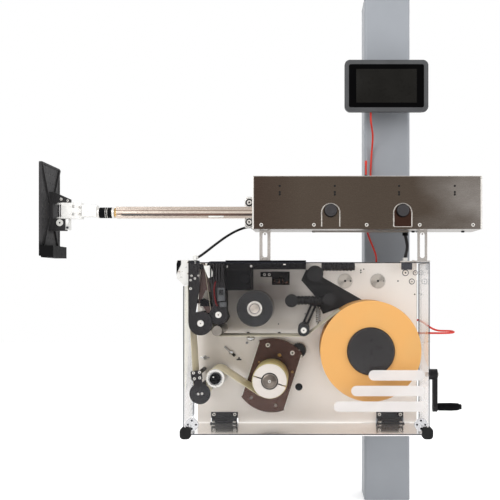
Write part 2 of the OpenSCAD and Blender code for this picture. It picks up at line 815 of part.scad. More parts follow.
// Clear front and sides of the hood, cut back at the top left for the print unit
module hood_shell() color("#dfe6ea", 0.3) {
    z = [hood_z + floor_t, hood_top];
    difference() {
        along_z(z) {
            rect(hood_x, [hood_front, hood_front + hood_t]);
            rect([hood_x[0], hood_x[0] + hood_t], [hood_front, base_front - 2]);
            rect([hood_x[1] - hood_t, hood_x[1]], [hood_front, base_front - 2]);
        }
        block([hood_x[0] - 1, -481], [hood_front - 1, base_front], [566.5, hood_top + 1]);
    }
}

// Polished steel floor of the hood, whose rear edge passes below the base plate as it opens
module hood_floor() color("#b3b0ac") {
    block(hood_x, [hood_front, hinge_at[0] - 8], [hood_z, hood_z + floor_t]);
}

// Rubber corners under the front edge of the hood
module hood_bumpers() color("#141414") {
    for (side = [-1, 1]) {
        corner = side < 0 ? hood_x[0] : hood_x[1];
        x = side < 0 ? [corner - 7.5, corner + 18] : [corner - 18, corner + 7.5];
        difference() {
            along_y([hood_front - 6, hood_front + 20]) rounded(x, [hood_z - 7, hood_z + 20], 9);
            block(hood_x, [hood_front, hood_front + 21], [hood_z, hood_z + 21]);
        }
    }
}

// Fixed hinge leaves with their outer knuckles and pins
module hinge_upper() color("#17181a") {
    for (x = hinge_x) {
        for (seg = [[x[0] + 2, x[0] + 20], [x[1] - 20, x[1] - 2]]) {
            disc_x(hinge_at, knuckle_r, seg);
            block(seg, [hinge_at[0], base_front], [hinge_at[1], hinge_at[1] + knuckle_r + 1]);
        }
        proud([0, 2.5]) rect(x, [hinge_at[1] + knuckle_r + 0.5, hinge_at[1] + 20]);
        disc_x(hinge_at, 2.5, [x[0] + 10, x[1] - 10]);
    }
}

// Moving hinge leaves on the hood floor
module hinge_lower() color("#17181a") {
    low = hood_z + floor_t;
    for (x = hinge_x) {
        seg = [x[0] + 20 + gap, x[1] - 20 - gap];
        difference() {
            union() {
                disc_x(hinge_at, knuckle_r, seg);
                block(seg, [base_front - 14, hinge_at[0]], [low, low + 2.5]);
                block(x, [base_front - 30, base_front - 12], [low, low + 2.5]);
            }
            disc_x(hinge_at, 2.5 + run_gap, x);
        }
    }
}

// Slotted steel angles that carry the applicator
module applicator_posts() color("#cfcbc6") {
    // Each with its leg and foot along X, the foot's distances from the base plate, and its seat
    posts = [
        [[-328, -301], [-328, -301], [22, 56], cover_top],
        [[59, 83], [48, 90], [-50, 56], machine_top]];
    for (post = posts) {
        leg = post[0];
        low = post[3];
        mid = (leg[0] + leg[1]) / 2;
        difference() {
            proud([53, 56]) rect(leg, [low, box_z[0]]);
            proud([52, 57]) bar([mid, low + 15], [mid, box_z[0] - 10], 12);
        }
        proud(post[2]) rect(post[1], [low, low + 3]);
        proud([22, 53]) rect(leg, [box_z[0] - 3, box_z[0]]);
    }
}

module arch(x, r) {
    translate([x, 740]) circle(r);
    rect([x - r, x + r], [box_z[0] - 17.2 + r, 740]);
}

// Front and top sheet of the applicator housing
module applicator_cover() color("#50483f") {
    difference() {
        proud([128, 130]) rect(box_x, box_z);
        for (x = latch_x) {
            proud([127, 131]) difference() {
                arch(x, 22);
                arch(x, 20.8);
            }
            disc([x, latch_z], 4 + run_gap, [127, 131]);
        }
        for (x = [-276, -146.1, 6.3, 137.9], z = [782, 788, 803.3]) disc([x, z], 2, [127, 131]);
    }
    block(box_x, [base_front - 128, box_back], [box_z[1] - box_t, box_z[1]]);
}

// Quarter-turn latch with its cam behind the cover
module latch(x) {
    turned([x, latch_z]) polygon([
        [0, 124], [9, 124], [9, 128 - gap], [4, 128 - gap], [4, 130 + gap], [15.5, 130 + gap],
        [15.5, 139], [14, 141], [11, 141.5], [0, 140]]);
    proud([124, 128 - gap]) rect([x - 6, x + 6], [latch_z, latch_z + 24]);
}

module latch_left() color("#1c1d1f") latch(latch_x[0]);

module latch_right() color("#1c1d1f") latch(latch_x[1]);

// Back plate, ends, bottom and roller brackets of the applicator
module applicator_frame() color("#6b635b") {
    deep = 130 - box_d;
    proud([deep, deep + 4]) rect(box_x, [box_z[0], box_z[1] - box_t]);
    proud([deep + 4, 128]) rect(box_x, [box_z[0], box_z[0] + box_t]);
    difference() {
        proud([deep, 130]) rect([box_x[0] - 4, box_x[0]], box_z);
        block([box_x[0] - 5, box_x[0] + 1], [beam_at[0] - beam_w / 2 - 4, beam_at[0] + beam_w / 2 + 4],
            [beam_at[1] - beam_w / 2 - 4, beam_at[1] + beam_w / 2 + 4]);
    }
    proud([deep, 130]) rect([box_x[1], box_x[1] + 4], box_z);
    proud([30, 50]) rect([-197, 37], [box_z[0] - 3, box_z[0]]);
    for (side = [-1, 1]) {
        z = beam_at[1] + side * roller_z;
        proud([33, 37]) rounded([roller_x - 13, box_x[0] - 4], [z - 13, z + 17], 3);
        disc([roller_x, z], 3, [37, 71]);
        disc([roller_x, z], 5, [69 + gap, 72]);
    }
}

// Rodless air cylinder that drives the beam
module cylinder_barrel() color("#9fa1a4") {
    z = beam_at[1];
    difference() {
        proud([3, 33]) rect([-296, 184], [z - 15, z + 15]);
        proud([28, 34]) rect([-290, 178], [z - 2, z + 2]);
    }
    for (x = [[-312, -296], [184, 196]]) proud([-6, 33]) rect(x, [z - 17, z + 17]);
}

// Grooved square beam with the shoe that rides on the cylinder
module beam() color("#c9c5c0") {
    half = beam_w / 2;
    shoe = [beam_x[1] - 60, beam_x[1]];
    z = beam_at[1];
    along_x(beam_x) difference() {
        rect([beam_at[0] - half, beam_at[0] + half], [z - half, z + half]);
        rect([beam_at[0] - half - 1, beam_at[0] - half + 5], [z - 8, z - 4.5]);
        rect([beam_at[0] - half - 1, beam_at[0] - half + 1.2], [z + 4, z + 9]);
        translate([beam_at[0], z + 1]) circle(6);
    }
    proud([33 + gap, 55 - half]) rect(shoe, [z - 23, z + 23]);
    proud([6, 34]) {
        rect(shoe, [z + 15 + gap, z + 23]);
        rect(shoe, [z - 23, z - 15 - gap]);
    }
}

// Damper, clamp block and fork at the end of the beam
module beam_head() color("#c6c6c8") {
    z = beam_at[1];
    y = [beam_at[0] - 12, beam_at[0] + 12];
    x0 = beam_x[0] - damper_len;
    translate([x0, beam_at[0], z]) rotate([0, 90, 0]) rotate_extrude() polygon([
        [0, 0], [12.5, 0], [13, 0.5], [13, 4], [11, 6], [12.5, 8], [12.5, 20], [11, 21], [11, 23],
        [12.5, 24], [12.5, damper_len - 14], [11, damper_len - 12], [13, damper_len - 10],
        [13, damper_len - 6.5], [10, damper_len - 5], [10, damper_len], [0, damper_len]]);
    block([x0 - 37, x0], [beam_at[0] - 14, beam_at[0] + 14], [z - 10, z + 18]);
    difference() {
        union() {
            block([head_pin[0] + 6, x0 - 37], y, [z - 15, z + 24]);
            for (ear = [[z - 15, z - 10.5], [z + 19.5, z + 24]]) {
                disc_z(head_pin, 9, ear);
                block([head_pin[0], head_pin[0] + 7], [head_pin[1] - 9, head_pin[1] + 9], ear);
            }
        }
        disc_z(head_pin, pin_r + run_gap, [z - 16, z + 25]);
        for (hole = [[36, 14.6], [36, -4.3]]) disc([head_pin[0] + hole[0], z + hole[1]], 3.5, [40, 70]);
    }
}

module beam_roller(z) {
    turned([roller_x, z]) polygon([
        [3 + run_gap, 41], [roller_r - 1, 41], [roller_r, 42], [roller_r, 68], [roller_r - 1, 69],
        [3 + run_gap, 69]]);
}

module beam_roller_upper() color("#3a3a3c") beam_roller(beam_at[1] + roller_z);

module beam_roller_lower() color("#3a3a3c") beam_roller(beam_at[1] - roller_z);

// Ribbed vacuum plate with the ear and block that hold its hinge pin
module vacuum_pad() color("#2a2c2f") {
    z = beam_at[1];
    back = head_pin[0] - 23;
    mid = [beam_at[0], z + 4.6];
    y = [mid[0] - pad_w / 2, mid[0] + pad_w / 2];
    high = [mid[1] - pad_h / 2, mid[1] + pad_h / 2];
    difference() {
        union() {
            along_x([back - pad_t, back]) difference() {
                rounded(y, high, 4);
                for (i = [-3:3], j = [-4:4])
                    translate([mid[0] + i * pad_w / 8, mid[1] + j * pad_h / 10]) circle(r = 1.6, $fn = 16);
            }
            along_x([back, back + rib_h])
                for (cy = [y[0] + 6, y[1] - 6], cz = [high[0] + 6, high[1] - 6]) bar([cy, cz], mid, 6);
            along_x([back, back + 1.5]) difference() {
                rounded(y, high, 4);
                rounded([y[0] + 5, y[1] - 5], [high[0] + 5, high[1] - 5], 2);
            }
            block([back, back + 10], [mid[0] - 15, mid[0] + 15], [z - 44, z + 50]);
            proud([45, 65]) polygon([
                [back, z + 24 + gap], [back, z + 49], [back + 14, z + 49], [head_pin[0] + 26, z + 33],
                [head_pin[0] + 26, z + 24 + gap]]);
            proud([43, 67]) rect([back, head_pin[0] + 16], [z - 44, z - 15 - gap]);
            block([back, back + 29], [y[0], y[0] + 119], [high[0] - 3.5, high[0] + 24.5]);
        }
        disc_z(head_pin, pin_r + run_gap, [z - 37 - gap, z + 41 + gap]);
    }
}

module pad_pin() color("#d5d5d6") {
    disc_z(head_pin, pin_r, [beam_at[1] - 37, beam_at[1] + 41]);
}

module signal_cable_upper() color("#dc463c") {
    tube(signal_upper_route, 2.5, 8, [0, 1, 0.2]);
}

module signal_cable_lower() color("#dc463c") {
    tube(signal_lower_route, 2.5, 8, [0, 1, 0.2]);
}

module air_hose_front() color("#141517") {
    tube(front_hose_route, 3, 8, [0, 1, 0]);
}

module air_hose_rear() color("#141517") {
    tube(rear_hose_route, 4, 8, [0, 1, 0]);
}

module power_lead() color("#dc463c") {
    tube(power_route, 2.5, 8, [0, 1, 0]);
}

column();
column_cap();
gear_rack();
panel_bracket();
panel_housing();
panel_glass();
signal_cable_upper();
signal_cable_lower();
carriage_frame();
slide_pads();
pinion_shaft();
crank_arm();
crank_grip();
rear_housing();
base_plate();
drive_motors();
roller_shafts();
unwind_hub();
label_roll();
hub_cap();
ribbon_hub();
ribbon_roll();
rewind_mandrel();
rewind_flange();
liner_roll();
dancer_arm();
dancer_roller();
dancer_spring();
guide_roller();
nip_roller();
nip_bracket();
platen_roller();
print_side_plate();
print_head();
top_cover();
tension_knob();
peel_bracket();
label_web();
liner_web();
cable_arm();
hood_shell();
hood_floor();
hood_bumpers();
hinge_upper();
hinge_lower();
applicator_posts();
applicator_cover();
latch_left();
latch_right();
applicator_frame();
cylinder_barrel();
beam();
beam_head();
beam_roller_upper();
beam_roller_lower();
vacuum_pad();
pad_pin();
air_hose_front();
air_hose_rear();
power_lead();
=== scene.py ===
"""Looks of the label printer applicator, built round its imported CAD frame.

Lengths in this file are millimetres in the frame's own axes unless a comment says otherwise,
and MM turns them into Blender's metres. A place on the printer is given as x, d and z, where d
is the distance in front of the base plate's face.
"""
import math

import bmesh
import bpy
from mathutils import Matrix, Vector


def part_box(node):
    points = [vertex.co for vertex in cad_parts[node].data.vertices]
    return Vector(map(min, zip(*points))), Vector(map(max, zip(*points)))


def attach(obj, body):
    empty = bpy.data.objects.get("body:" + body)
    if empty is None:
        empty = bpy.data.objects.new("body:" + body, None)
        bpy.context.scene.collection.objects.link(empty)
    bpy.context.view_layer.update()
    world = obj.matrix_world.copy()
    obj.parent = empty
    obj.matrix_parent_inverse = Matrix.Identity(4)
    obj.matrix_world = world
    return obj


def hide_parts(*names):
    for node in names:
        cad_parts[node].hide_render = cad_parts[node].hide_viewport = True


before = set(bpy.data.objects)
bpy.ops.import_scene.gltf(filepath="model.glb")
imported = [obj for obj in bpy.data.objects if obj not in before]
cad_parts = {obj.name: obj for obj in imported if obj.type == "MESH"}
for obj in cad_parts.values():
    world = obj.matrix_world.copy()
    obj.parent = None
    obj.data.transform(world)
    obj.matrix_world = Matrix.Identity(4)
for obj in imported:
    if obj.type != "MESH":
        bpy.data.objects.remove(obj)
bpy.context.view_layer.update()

scene = bpy.context.scene
MM = 0.001
# Y of the base plate's front face, which the rollers' fixed shafts stand on
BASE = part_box("roller_shafts")[1].y / MM
FRONT, UP, DOWN, LEFT, RIGHT = (0, -1, 0), (0, 0, 1), (0, 0, -1), (-1, 0, 0), (1, 0, 0)


def edge(node, corner, axis):
    """One coordinate of a CAD node's box, in millimetres: corner 0 is low and 1 is high."""
    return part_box(node)[corner]["xyz".index(axis)] / MM


def place(x, d, z):
    return Vector((x, BASE - d, z))


def face_of(node):
    """How far the front of a CAD node stands before the base plate's face."""
    return BASE - edge(node, 0, "y")


def axis_of(node):
    """x and z of a round CAD node's axis, rounded because its facets shift its box a little."""
    return tuple(round((edge(node, 0, axis) + edge(node, 1, axis)) / 2, 1) for axis in "xz")


# Axes and places that several pieces share

ROLL = axis_of("unwind_hub")
RIBBON = axis_of("ribbon_roll")
REWIND = axis_of("rewind_flange")
DANCER = axis_of("dancer_roller")
GUIDE = axis_of("guide_roller")
PLATEN = axis_of("platen_roller")
LATCH_X = {side: axis_of("latch_" + side)[0] for side in ("left", "right")}
BOSS_X = {"left": -116, "right": -33.5}
BOSS_Z, BOSS_FACE = 578, 3
COVER_FACE = face_of("applicator_cover")
COVER_LOW, COVER_HIGH = edge("applicator_cover", 0, "z"), edge("applicator_cover", 1, "z")
HINGE_ENDS = ((-452, -385), (-37.5, 30))
HINGE_HOLES = [x for left, right in HINGE_ENDS for x in (left + 7.5, right - 7.5)]


def rgb(red, green, blue):
    """A colour given as it looks on a screen, 0 to 255, as Blender's linear colour."""
    def linear(c):
        c = c / 255
        return c / 12.92 if c <= 0.04045 else ((c + 0.055) / 1.055) ** 2.4
    return (linear(red), linear(green), linear(blue), 1)


# Camera, light and studio, in metres

def make_camera():
    data = bpy.data.cameras.new("camera")
    data.sensor_width = 36
    data.lens = 64.8
    data.shift_x = -0.112
    data.shift_y = 0.062
    camera = bpy.data.objects.new("camera", data)
    camera.location = (-0.214, -2.434, 0.578)
    camera.rotation_euler = (math.radians(90), 0, 0)
    scene.collection.objects.link(camera)
    scene.camera = camera


def make_lamp(name, location, target, size, power):
    data = bpy.data.lights.new(name, "AREA")
    data.shape = "RECTANGLE"
    data.size, data.size_y = size
    data.energy = power
    lamp = bpy.data.objects.new(name, data)
    lamp.location = location
    lamp.rotation_euler = (Vector(target) - Vector(location)).to_track_quat("-Z", "Y").to_euler()
    scene.collection.objects.link(lamp)


def seen_directly(tree, low, high):
    """The high value for what the camera, a mirror or a clear sheet sees, low for light on the object."""
    path = tree.nodes.new("ShaderNodeLightPath")
    total = path.outputs["Is Camera Ray"]
    for other in ("Is Glossy Ray", "Is Transmission Ray"):
        either = tree.nodes.new("ShaderNodeMath")
        either.operation = "MAXIMUM"
        tree.links.new(total, either.inputs[0])
        tree.links.new(path.outputs[other], either.inputs[1])
        total = either.outputs[0]
    ranged = tree.nodes.new("ShaderNodeMapRange")
    ranged.inputs["To Min"].default_value = low
    ranged.inputs["To Max"].default_value = high
    tree.links.new(total, ranged.inputs["Value"])
    return ranged.outputs[0]


def make_world():
    world = bpy.data.worlds.new("studio")
    scene.world = world
    world.use_nodes = True
    tree = world.node_tree
    inputs = tree.nodes["Background"].inputs
    inputs["Color"].default_value = (1, 1, 1, 1)
    tree.links.new(seen_directly(tree, 0.66, 1.0), inputs["Strength"])


def make_studio_sheet(name, corners):
    """A flat sheet of the studio, which is no part of the object, and its material's nodes."""
    mesh = bpy.data.meshes.new(name)
    mesh.from_pydata(corners, [], [(0, 1, 2, 3)])
    sheet = bpy.data.objects.new(name, mesh)
    scene.collection.objects.link(sheet)
    material = bpy.data.materials.new(name)
    material.use_nodes = True
    mesh.materials.append(material)
    return sheet, material.node_tree


def make_floor():
    half = 6.0
    corners = [(-half, -half, 0), (half, -half, 0), (half, half, 0), (-half, half, 0)]
    tree = make_studio_sheet("floor", corners)[1]
    inputs = tree.nodes["Principled BSDF"].inputs
    inputs["Base Color"].default_value = (0.93, 0.93, 0.93, 1)
    inputs["Roughness"].default_value = 0.9
    inputs["Emission Color"].default_value = (1, 1, 1, 1)
    tree.links.new(seen_directly(tree, 0.0, 0.38), inputs["Emission Strength"])


def make_front_card():
    """A large grey card behind the camera, seen only in polished metal."""
    half, distance, height = 2.6, -3.2, 0.9
    corners = [(x * half, distance, height + z * half) for x, z in ((-1, -1), (-1, 1), (1, 1), (1, -1))]
    card, tree = make_studio_sheet("front_card", corners)
    inputs = tree.nodes["Principled BSDF"].inputs
    inputs["Base Color"].default_value = (0, 0, 0, 1)
    inputs["Specular IOR Level"].default_value = 0
    inputs["Emission Color"].default_value = (0.97, 0.93, 0.9, 1)
    inputs["Emission Strength"].default_value = 0.62
    for ray in ("visible_camera", "visible_diffuse", "visible_shadow", "visible_transmission"):
        setattr(card, ray, False)


# Materials

class Look:
    """A procedural material: a shader with noise, rings, wedges and bumps added by short calls."""

    def __init__(self, name, color, rough, metal=0.0):
        self.material = bpy.data.materials.new(name)
        self.material.use_nodes = True
        self.nodes = self.material.node_tree.nodes
        self.links = self.material.node_tree.links
        self.shader = self.nodes["Principled BSDF"]
        self.set(Base_Color=color, Roughness=rough, Metallic=metal)
        self.color = color
        self.height = None
        self.spots = self.node("TexCoord").outputs["Object"]

    def feed(self, socket, value):
        """Gives a socket a constant, or joins another node's output to it."""
        if isinstance(value, bpy.types.NodeSocket):
            self.links.new(value, socket)
        else:
            socket.default_value = value

    def set(self, **values):
        for name, value in values.items():
            self.feed(self.shader.inputs[name.replace("_", " ")], value)
        return self

    def node(self, kind, **values):
        made = self.nodes.new("ShaderNode" + kind)
        for name, value in values.items():
            self.feed(made.inputs[name.replace("_", " ")], value)
        return made

    def stretched(self, scale, offset=(0, 0, 0)):
        return self.node("Mapping", Scale=scale, Location=offset, Vector=self.spots).outputs[0]

    def noise(self, per_metre, stretch=(1, 1, 1), detail=3.0):
        vector = self.stretched(stretch)
        return self.node("TexNoise", Scale=per_metre, Detail=detail, Vector=vector).outputs[0]

    def rings(self, centre, per_metre, distortion=0.0):
        """Rings round an axis along Y through centre, which is x and z in millimetres."""
        vector = self.stretched((1, 1, 1), (-centre[0] * MM, 0, -centre[1] * MM))
        texture = self.node("TexWave", Scale=per_metre, Distortion=distortion, Vector=vector)
        texture.wave_type = "RINGS"
        texture.rings_direction = "Y"
        return texture.outputs["Fac"]

    def math(self, operation, *values):
        made = self.node("Math")
        made.operation = operation
        for socket, value in zip(made.inputs, values):
            self.feed(socket, value)
        return made.outputs[0]

    def along(self, axis, low, high):
        """0 to 1 between two places on an axis, in millimetres."""
        parts = self.node("SeparateXYZ", Vector=self.spots)
        return self.ranged(parts.outputs[axis], 0, 1, low * MM, high * MM)

    def between(self, axis, low, high, soft=0.3):
        """1 from low to high along an axis, in millimetres, and 0 elsewhere."""
        rise = self.along(axis, low - soft, low + soft)
        return self.math("MINIMUM", rise, self.along(axis, high + soft, high - soft))

    def wedges(self, centre, turn=0.6):
        """Painted light and dark wedges round an axis along Y, standing in for the highlights and shade
        that turned metal shows, -1 to 1.
        """
        parts = self.node("SeparateXYZ", Vector=self.spots)
        x, z = (self.math("SUBTRACT", parts.outputs[axis], c * MM) for axis, c in zip("XZ", centre))
        return self.math("SINE", self.math("MULTIPLY_ADD", self.math("ARCTAN2", z, x), 2.0, turn))

    def ranged(self, value, low, high, start=0.0, end=1.0):
        return self.node("MapRange", From_Min=start, From_Max=end, To_Min=low, To_Max=high,
                         Value=value).outputs[0]

    def tint(self, value, other, low=0.3, high=0.7):
        """Mixes another colour in where value is high."""
        mix = self.nodes.new("ShaderNodeMix")
        mix.data_type = "RGBA"
        mix.inputs["A"].default_value = self.color
        joined = self.shader.inputs["Base Color"].links
        if joined:
            self.links.new(joined[0].from_socket, mix.inputs["A"])
        mix.inputs["B"].default_value = other
        self.links.new(self.ranged(value, 0, 1, low, high), mix.inputs["Factor"])
        return self.set(Base_Color=mix.outputs["Result"])

    def roughen(self, value, low, high):
        return self.set(Roughness=self.ranged(value, low, high, 0.3, 0.7))

    def bump(self, value, depth):
        """A relief of that depth in millimetres, added to what is there."""
        if self.height is None:
            self.height = self.node("Bevel", Radius=0.5 * MM).outputs[0]
        bump = self.node("Bump", Distance=depth * MM, Height=value, Normal=self.height)
        self.height = bump.outputs[0]
        return self.set(Normal=self.height)


def shade(color, factor):
    return (color[0] * factor, color[1] * factor, color[2] * factor, 1)


def paint(name, color, rough=0.42):
    look = Look(name, color, rough)
    look.set(Specular_IOR_Level=0.15 if color[1] < 0.03 else 0.3)
    look.tint(look.noise(9), shade(color, 0.93))
    look.roughen(look.noise(60), rough - 0.05, rough + 0.08)
    return look.bump(look.noise(900, detail=2), 0.03)


def plastic(name, color, rough=0.5, grain=0.04, sheen=0.25):
    look = Look(name, color, rough)
    look.set(Specular_IOR_Level=sheen)
    look.tint(look.noise(25), shade(color, 0.82))
    look.roughen(look.noise(120), rough - 0.06, rough + 0.08)
    return look.bump(look.noise(2600, detail=2), grain)


def steel(name, color, rough, brushed="Z", other=0.86):
    """Brushed metal with its lines along one axis, and soft cloudy shading."""
    look = Look(name, color, rough, metal=1.0)
    stretch = {"X": (0.02, 1, 1), "Y": (1, 0.02, 1), "Z": (1, 1, 0.02)}[brushed]
    lines = look.noise(1800, stretch, detail=4)
    look.tint(look.noise(5), shade(color, other), 0.35, 0.75)
    look.tint(lines, shade(color, other), 0.35, 0.85)
    look.roughen(lines, rough - 0.05, rough + 0.08)
    return look.bump(lines, 0.008)


def polished(name, color, rough, metal=1.0):
    look = Look(name, color, rough, metal)
    look.tint(look.noise(30), shade(color, 0.92))
    look.roughen(look.noise(90), rough * 0.8, rough * 1.3)
    return look.bump(look.noise(300), 0.003)


def wound(name, color, other, centre, rough, turns=900):
    """The edges of a wound roll: rings round its centre, a little uneven."""
    look = Look(name, color, rough)
    look.tint(look.rings(centre, turns / 6, 2.0), other, 0.2, 0.9)
    look.tint(look.noise(14), shade(color, 0.9), 0.4, 0.8)
    return look.bump(look.rings(centre, turns / 2), 0.03)


def turned_face_painted_glints(name, color, centre, dark=0.38, rough=0.3):
    """The turned end of a shaft or boss, with painted highlight and shade wedges."""
    look = Look(name, color, rough, metal=1.0)
    # The wedges are painted highlights and shade; the rings after them are turning marks.
    look.tint(look.wedges(centre), shade(color, dark), 0.0, 1.0)
    look.tint(look.rings(centre, 500), shade(color, 0.85))
    return look.bump(look.rings(centre, 400), 0.01)


def clear_sheet(name):
    """Clear plastic sheet: it mirrors at a low angle, and its edges, where two faces meet, are painted dark
    as shade.
    """
    look = Look(name, rgb(240, 242, 247), 0.03, metal=1.0)
    sides = []
    for axis in "XYZ":
        low, high = (edge("hood_shell", corner, axis.lower()) for corner in (0, 1))
        inner = look.along(axis, low + 2.6, low + 2.4)
        outer = look.along(axis, high - 2.6, high - 2.4)
        sides.append(look.math("MAXIMUM", inner, outer))
    edge_shade = look.math("ADD", look.math("ADD", sides[0], sides[1]), sides[2])
    # Painted shade: the sheet's edges are tinted dark and made nearly opaque.
    look.tint(edge_shade, rgb(58, 61, 70), 1.2, 1.8)
    slant = look.node("LayerWeight").outputs["Facing"]
    sheet = look.ranged(look.math("POWER", slant, 5.0), 0.012, 0.9)
    alpha = look.math("MAXIMUM", sheet, look.ranged(edge_shade, 0.0, 0.9, 1.2, 1.8))
    return look.set(Alpha=alpha).bump(look.noise(4), 0.02)


def frosted(name):
    look = Look(name, rgb(240, 236, 234), 0.6)
    look.tint(look.noise(12), rgb(228, 224, 222))
    look.set(Alpha=0.68)
    return look.bump(look.noise(3000, detail=2), 0.02)


def extrusion(name):
    """The aluminium beam, with painted light and dark lines along its length that stand in for the
    highlights and shade of its profile.
    """
    look = steel(name, rgb(226, 213, 202), 0.22, "X", 0.93)
    low = edge("beam", 0, "z")
    # Painted highlights and shade, as bands in z above the beam's foot.
    for start, end, color in ((0, 2.6, rgb(98, 76, 68)), (3.2, 6, rgb(246, 236, 228)),
                              (17.8, 21, rgb(172, 154, 142)), (21.4, 25.6, rgb(252, 240, 228)),
                              (26.4, 28.4, rgb(158, 138, 124))):
        look.tint(look.between("Z", low + start, low + end), color, 0.0, 1.0)
    return look


def sheet_steel(name):
    """The applicator's cover, painted brown where it mirrors a dark room, with a painted lighter reflection
    clouding it to the right.
    """
    look = steel(name, rgb(106, 95, 85), 0.22, "X", 0.86)
    painted_reflection_clouds = look.math("MULTIPLY", look.along("X", -10, 210), look.noise(9, (1, 1, 1.6), 8))
    look.tint(painted_reflection_clouds, rgb(180, 176, 172), 0.12, 0.7)
    # Painted reflection: browner still towards the left end.
    look.tint(look.along("X", -230, -345), rgb(88, 74, 66), 0.0, 1.0)
    return look


def mounting_plate(name):
    """The plate behind the rollers, with painted shade: darker towards the left, and darker again in a
    cloudy patch where it mirrors the print head's inside.
    """
    look = steel(name, rgb(247, 242, 236), 0.36, "Z", 0.93)
    look.set(Metallic=0.5)
    # Painted shade, darker towards the left end.
    look.tint(look.along("X", -180, -460), rgb(232, 225, 218), 0.0, 1.0)
    across = look.between("X", -372, -226, 44)
    shadow = look.math("MULTIPLY", across, look.between("Z", 502, 598, 34))
    cloudy = look.math("MULTIPLY", shadow, look.ranged(look.noise(14), 0.75, 1.0))
    look.tint(cloudy, rgb(120, 111, 106), 0.0, 1.0)
    return look


def pad_plastic(name):
    """The pad's black plastic, darker on its foot."""
    look = plastic(name, rgb(62, 61, 62), 0.6, 0.03, 0.08)
    return look.tint(look.along("Z", 676, 662), rgb(9, 9, 10), 0.0, 1.0)


def stripe(name):
    """The beam's groove, painted dark as the shade inside it, and browner towards its middle."""
    look = Look(name, rgb(36, 32, 33), 0.35)
    look.tint(look.along("X", -640, -460), rgb(92, 58, 44), 0.0, 1.0)
    look.tint(look.along("X", -420, -330), rgb(44, 40, 42), 0.0, 1.0)
    return look.bump(look.noise(400), 0.02)


looks = {
    "column": paint("column_paint", rgb(158, 162, 168)),
    "frame": paint("frame_paint", rgb(62, 65, 70), 0.5),
    "housing": paint("housing_paint", rgb(74, 77, 82), 0.5),
    "bezel": plastic("bezel_plastic", rgb(79, 80, 82), 0.48, 0.03),
    "black": plastic("black_plastic", rgb(33, 32, 34), 0.5),
    "deep_black": plastic("deep_black_plastic", rgb(17, 17, 19), 0.6, 0.04, 0.05),
    "coated": paint("black_coating", rgb(37, 35, 37), 0.45),
    "glass": plastic("screen_glass", rgb(5, 5, 6), 0.14, 0.0, 0.04),
    "display": plastic("screen_display", rgb(31, 30, 28), 0.3, 0.0, 0.04),
    "nylon": plastic("white_nylon", rgb(225, 222, 214), 0.4),
    "gear": steel("gear_steel", rgb(168, 169, 171), 0.3, "X"),
    "plate": mounting_plate("plate_steel"),
    "dull": polished("roller_end_steel", rgb(150, 144, 137), 0.35),
    "pad": pad_plastic("pad_plastic"),
    "shaft": steel("shaft_steel", rgb(205, 205, 207), 0.22, "Y"),
    "bright": polished("bright_aluminium", rgb(233, 232, 229), 0.3, 0.3),
    "screw": polished("screw_steel", rgb(232, 229, 224), 0.3, 0.5),
    "socket": plastic("socket_shadow", rgb(16, 15, 15), 0.7),
    "roller": steel("roller_aluminium", rgb(214, 215, 216), 0.25, "Y"),
    "rubber": plastic("roller_rubber", rgb(42, 42, 44), 0.62),
    "bumper": plastic("bumper_rubber", rgb(22, 22, 23), 0.7, 0.08),
    "label_roll": wound("label_roll_edge", rgb(233, 177, 101), rgb(222, 158, 78), ROLL, 0.62),
    "ribbon": wound("ribbon_film", rgb(22, 22, 24), rgb(44, 44, 47), RIBBON, 0.2),
    "liner_roll": wound("liner_roll_edge", rgb(190, 176, 120), rgb(164, 150, 92), REWIND, 0.5),
    "label": plastic("label_paper", rgb(232, 222, 196), 0.55),
    "liner": plastic("liner_paper", rgb(250, 241, 210), 0.32),
    "white": paint("white_coating", rgb(236, 235, 230), 0.4),
    "flange": polished("flange_steel", rgb(80, 58, 50), 0.2),
    "cover": sheet_steel("cover_steel"),
    "inner": steel("inner_steel", rgb(150, 144, 138), 0.3, "X"),
    "post": steel("post_steel", rgb(226, 222, 218), 0.25, "Z"),
    "beam": extrusion("beam_aluminium"),
    "hood_floor": polished("hood_steel", rgb(250, 248, 246), 0.1, 0.9),
    "clear": clear_sheet("clear_sheet"),
    "frosted": frosted("frosted_film"),
    "red": plastic("red_sheath", rgb(222, 62, 48), 0.4, 0.01),
    "hose": plastic("black_hose", rgb(26, 26, 28), 0.35, 0.01),
    "grey": plastic("connector_grey", rgb(104, 106, 110), 0.5),
    "spring": polished("spring_wire", rgb(196, 197, 200), 0.25),
    "brass": polished("brass_fitting", rgb(196, 160, 100), 0.3),
    "wire_dark": plastic("red_sheath_dark", rgb(98, 24, 26), 0.45, 0.01, 0.1),
    "wire_brown": paint("brown_shade_coating", rgb(82, 62, 58), 0.5),
    "latch_black": plastic("latch_plastic", rgb(60, 58, 60), 0.3, 0.01),
    "edge_steel": polished("edge_steel", rgb(226, 221, 215), 0.3, 0.4),
    "glint": polished("lit_steel", rgb(255, 253, 250), 0.35, 0.0),
    "clamp_face": wound("clamp_coating", rgb(224, 217, 211), rgb(203, 192, 180), REWIND, 0.4),
    "stripe": stripe("beam_groove"),
    "smoked": paint("bracket_coating", rgb(58, 60, 68), 0.5),
    "hub_dome": plastic("hub_plastic", rgb(47, 45, 46), 0.3, 0.01),
    "boss_left": turned_face_painted_glints("turned_boss_left", rgb(222, 216, 208), (BOSS_X["left"], BOSS_Z)),
    "boss_right": turned_face_painted_glints("turned_boss_right", rgb(222, 216, 208), (BOSS_X["right"], BOSS_Z)),
    "hub_face": turned_face_painted_glints("turned_hub", rgb(134, 124, 116), REWIND),
    "ribbon_face": turned_face_painted_glints("turned_ribbon_hub", rgb(214, 205, 196), RIBBON, 0.7),
}

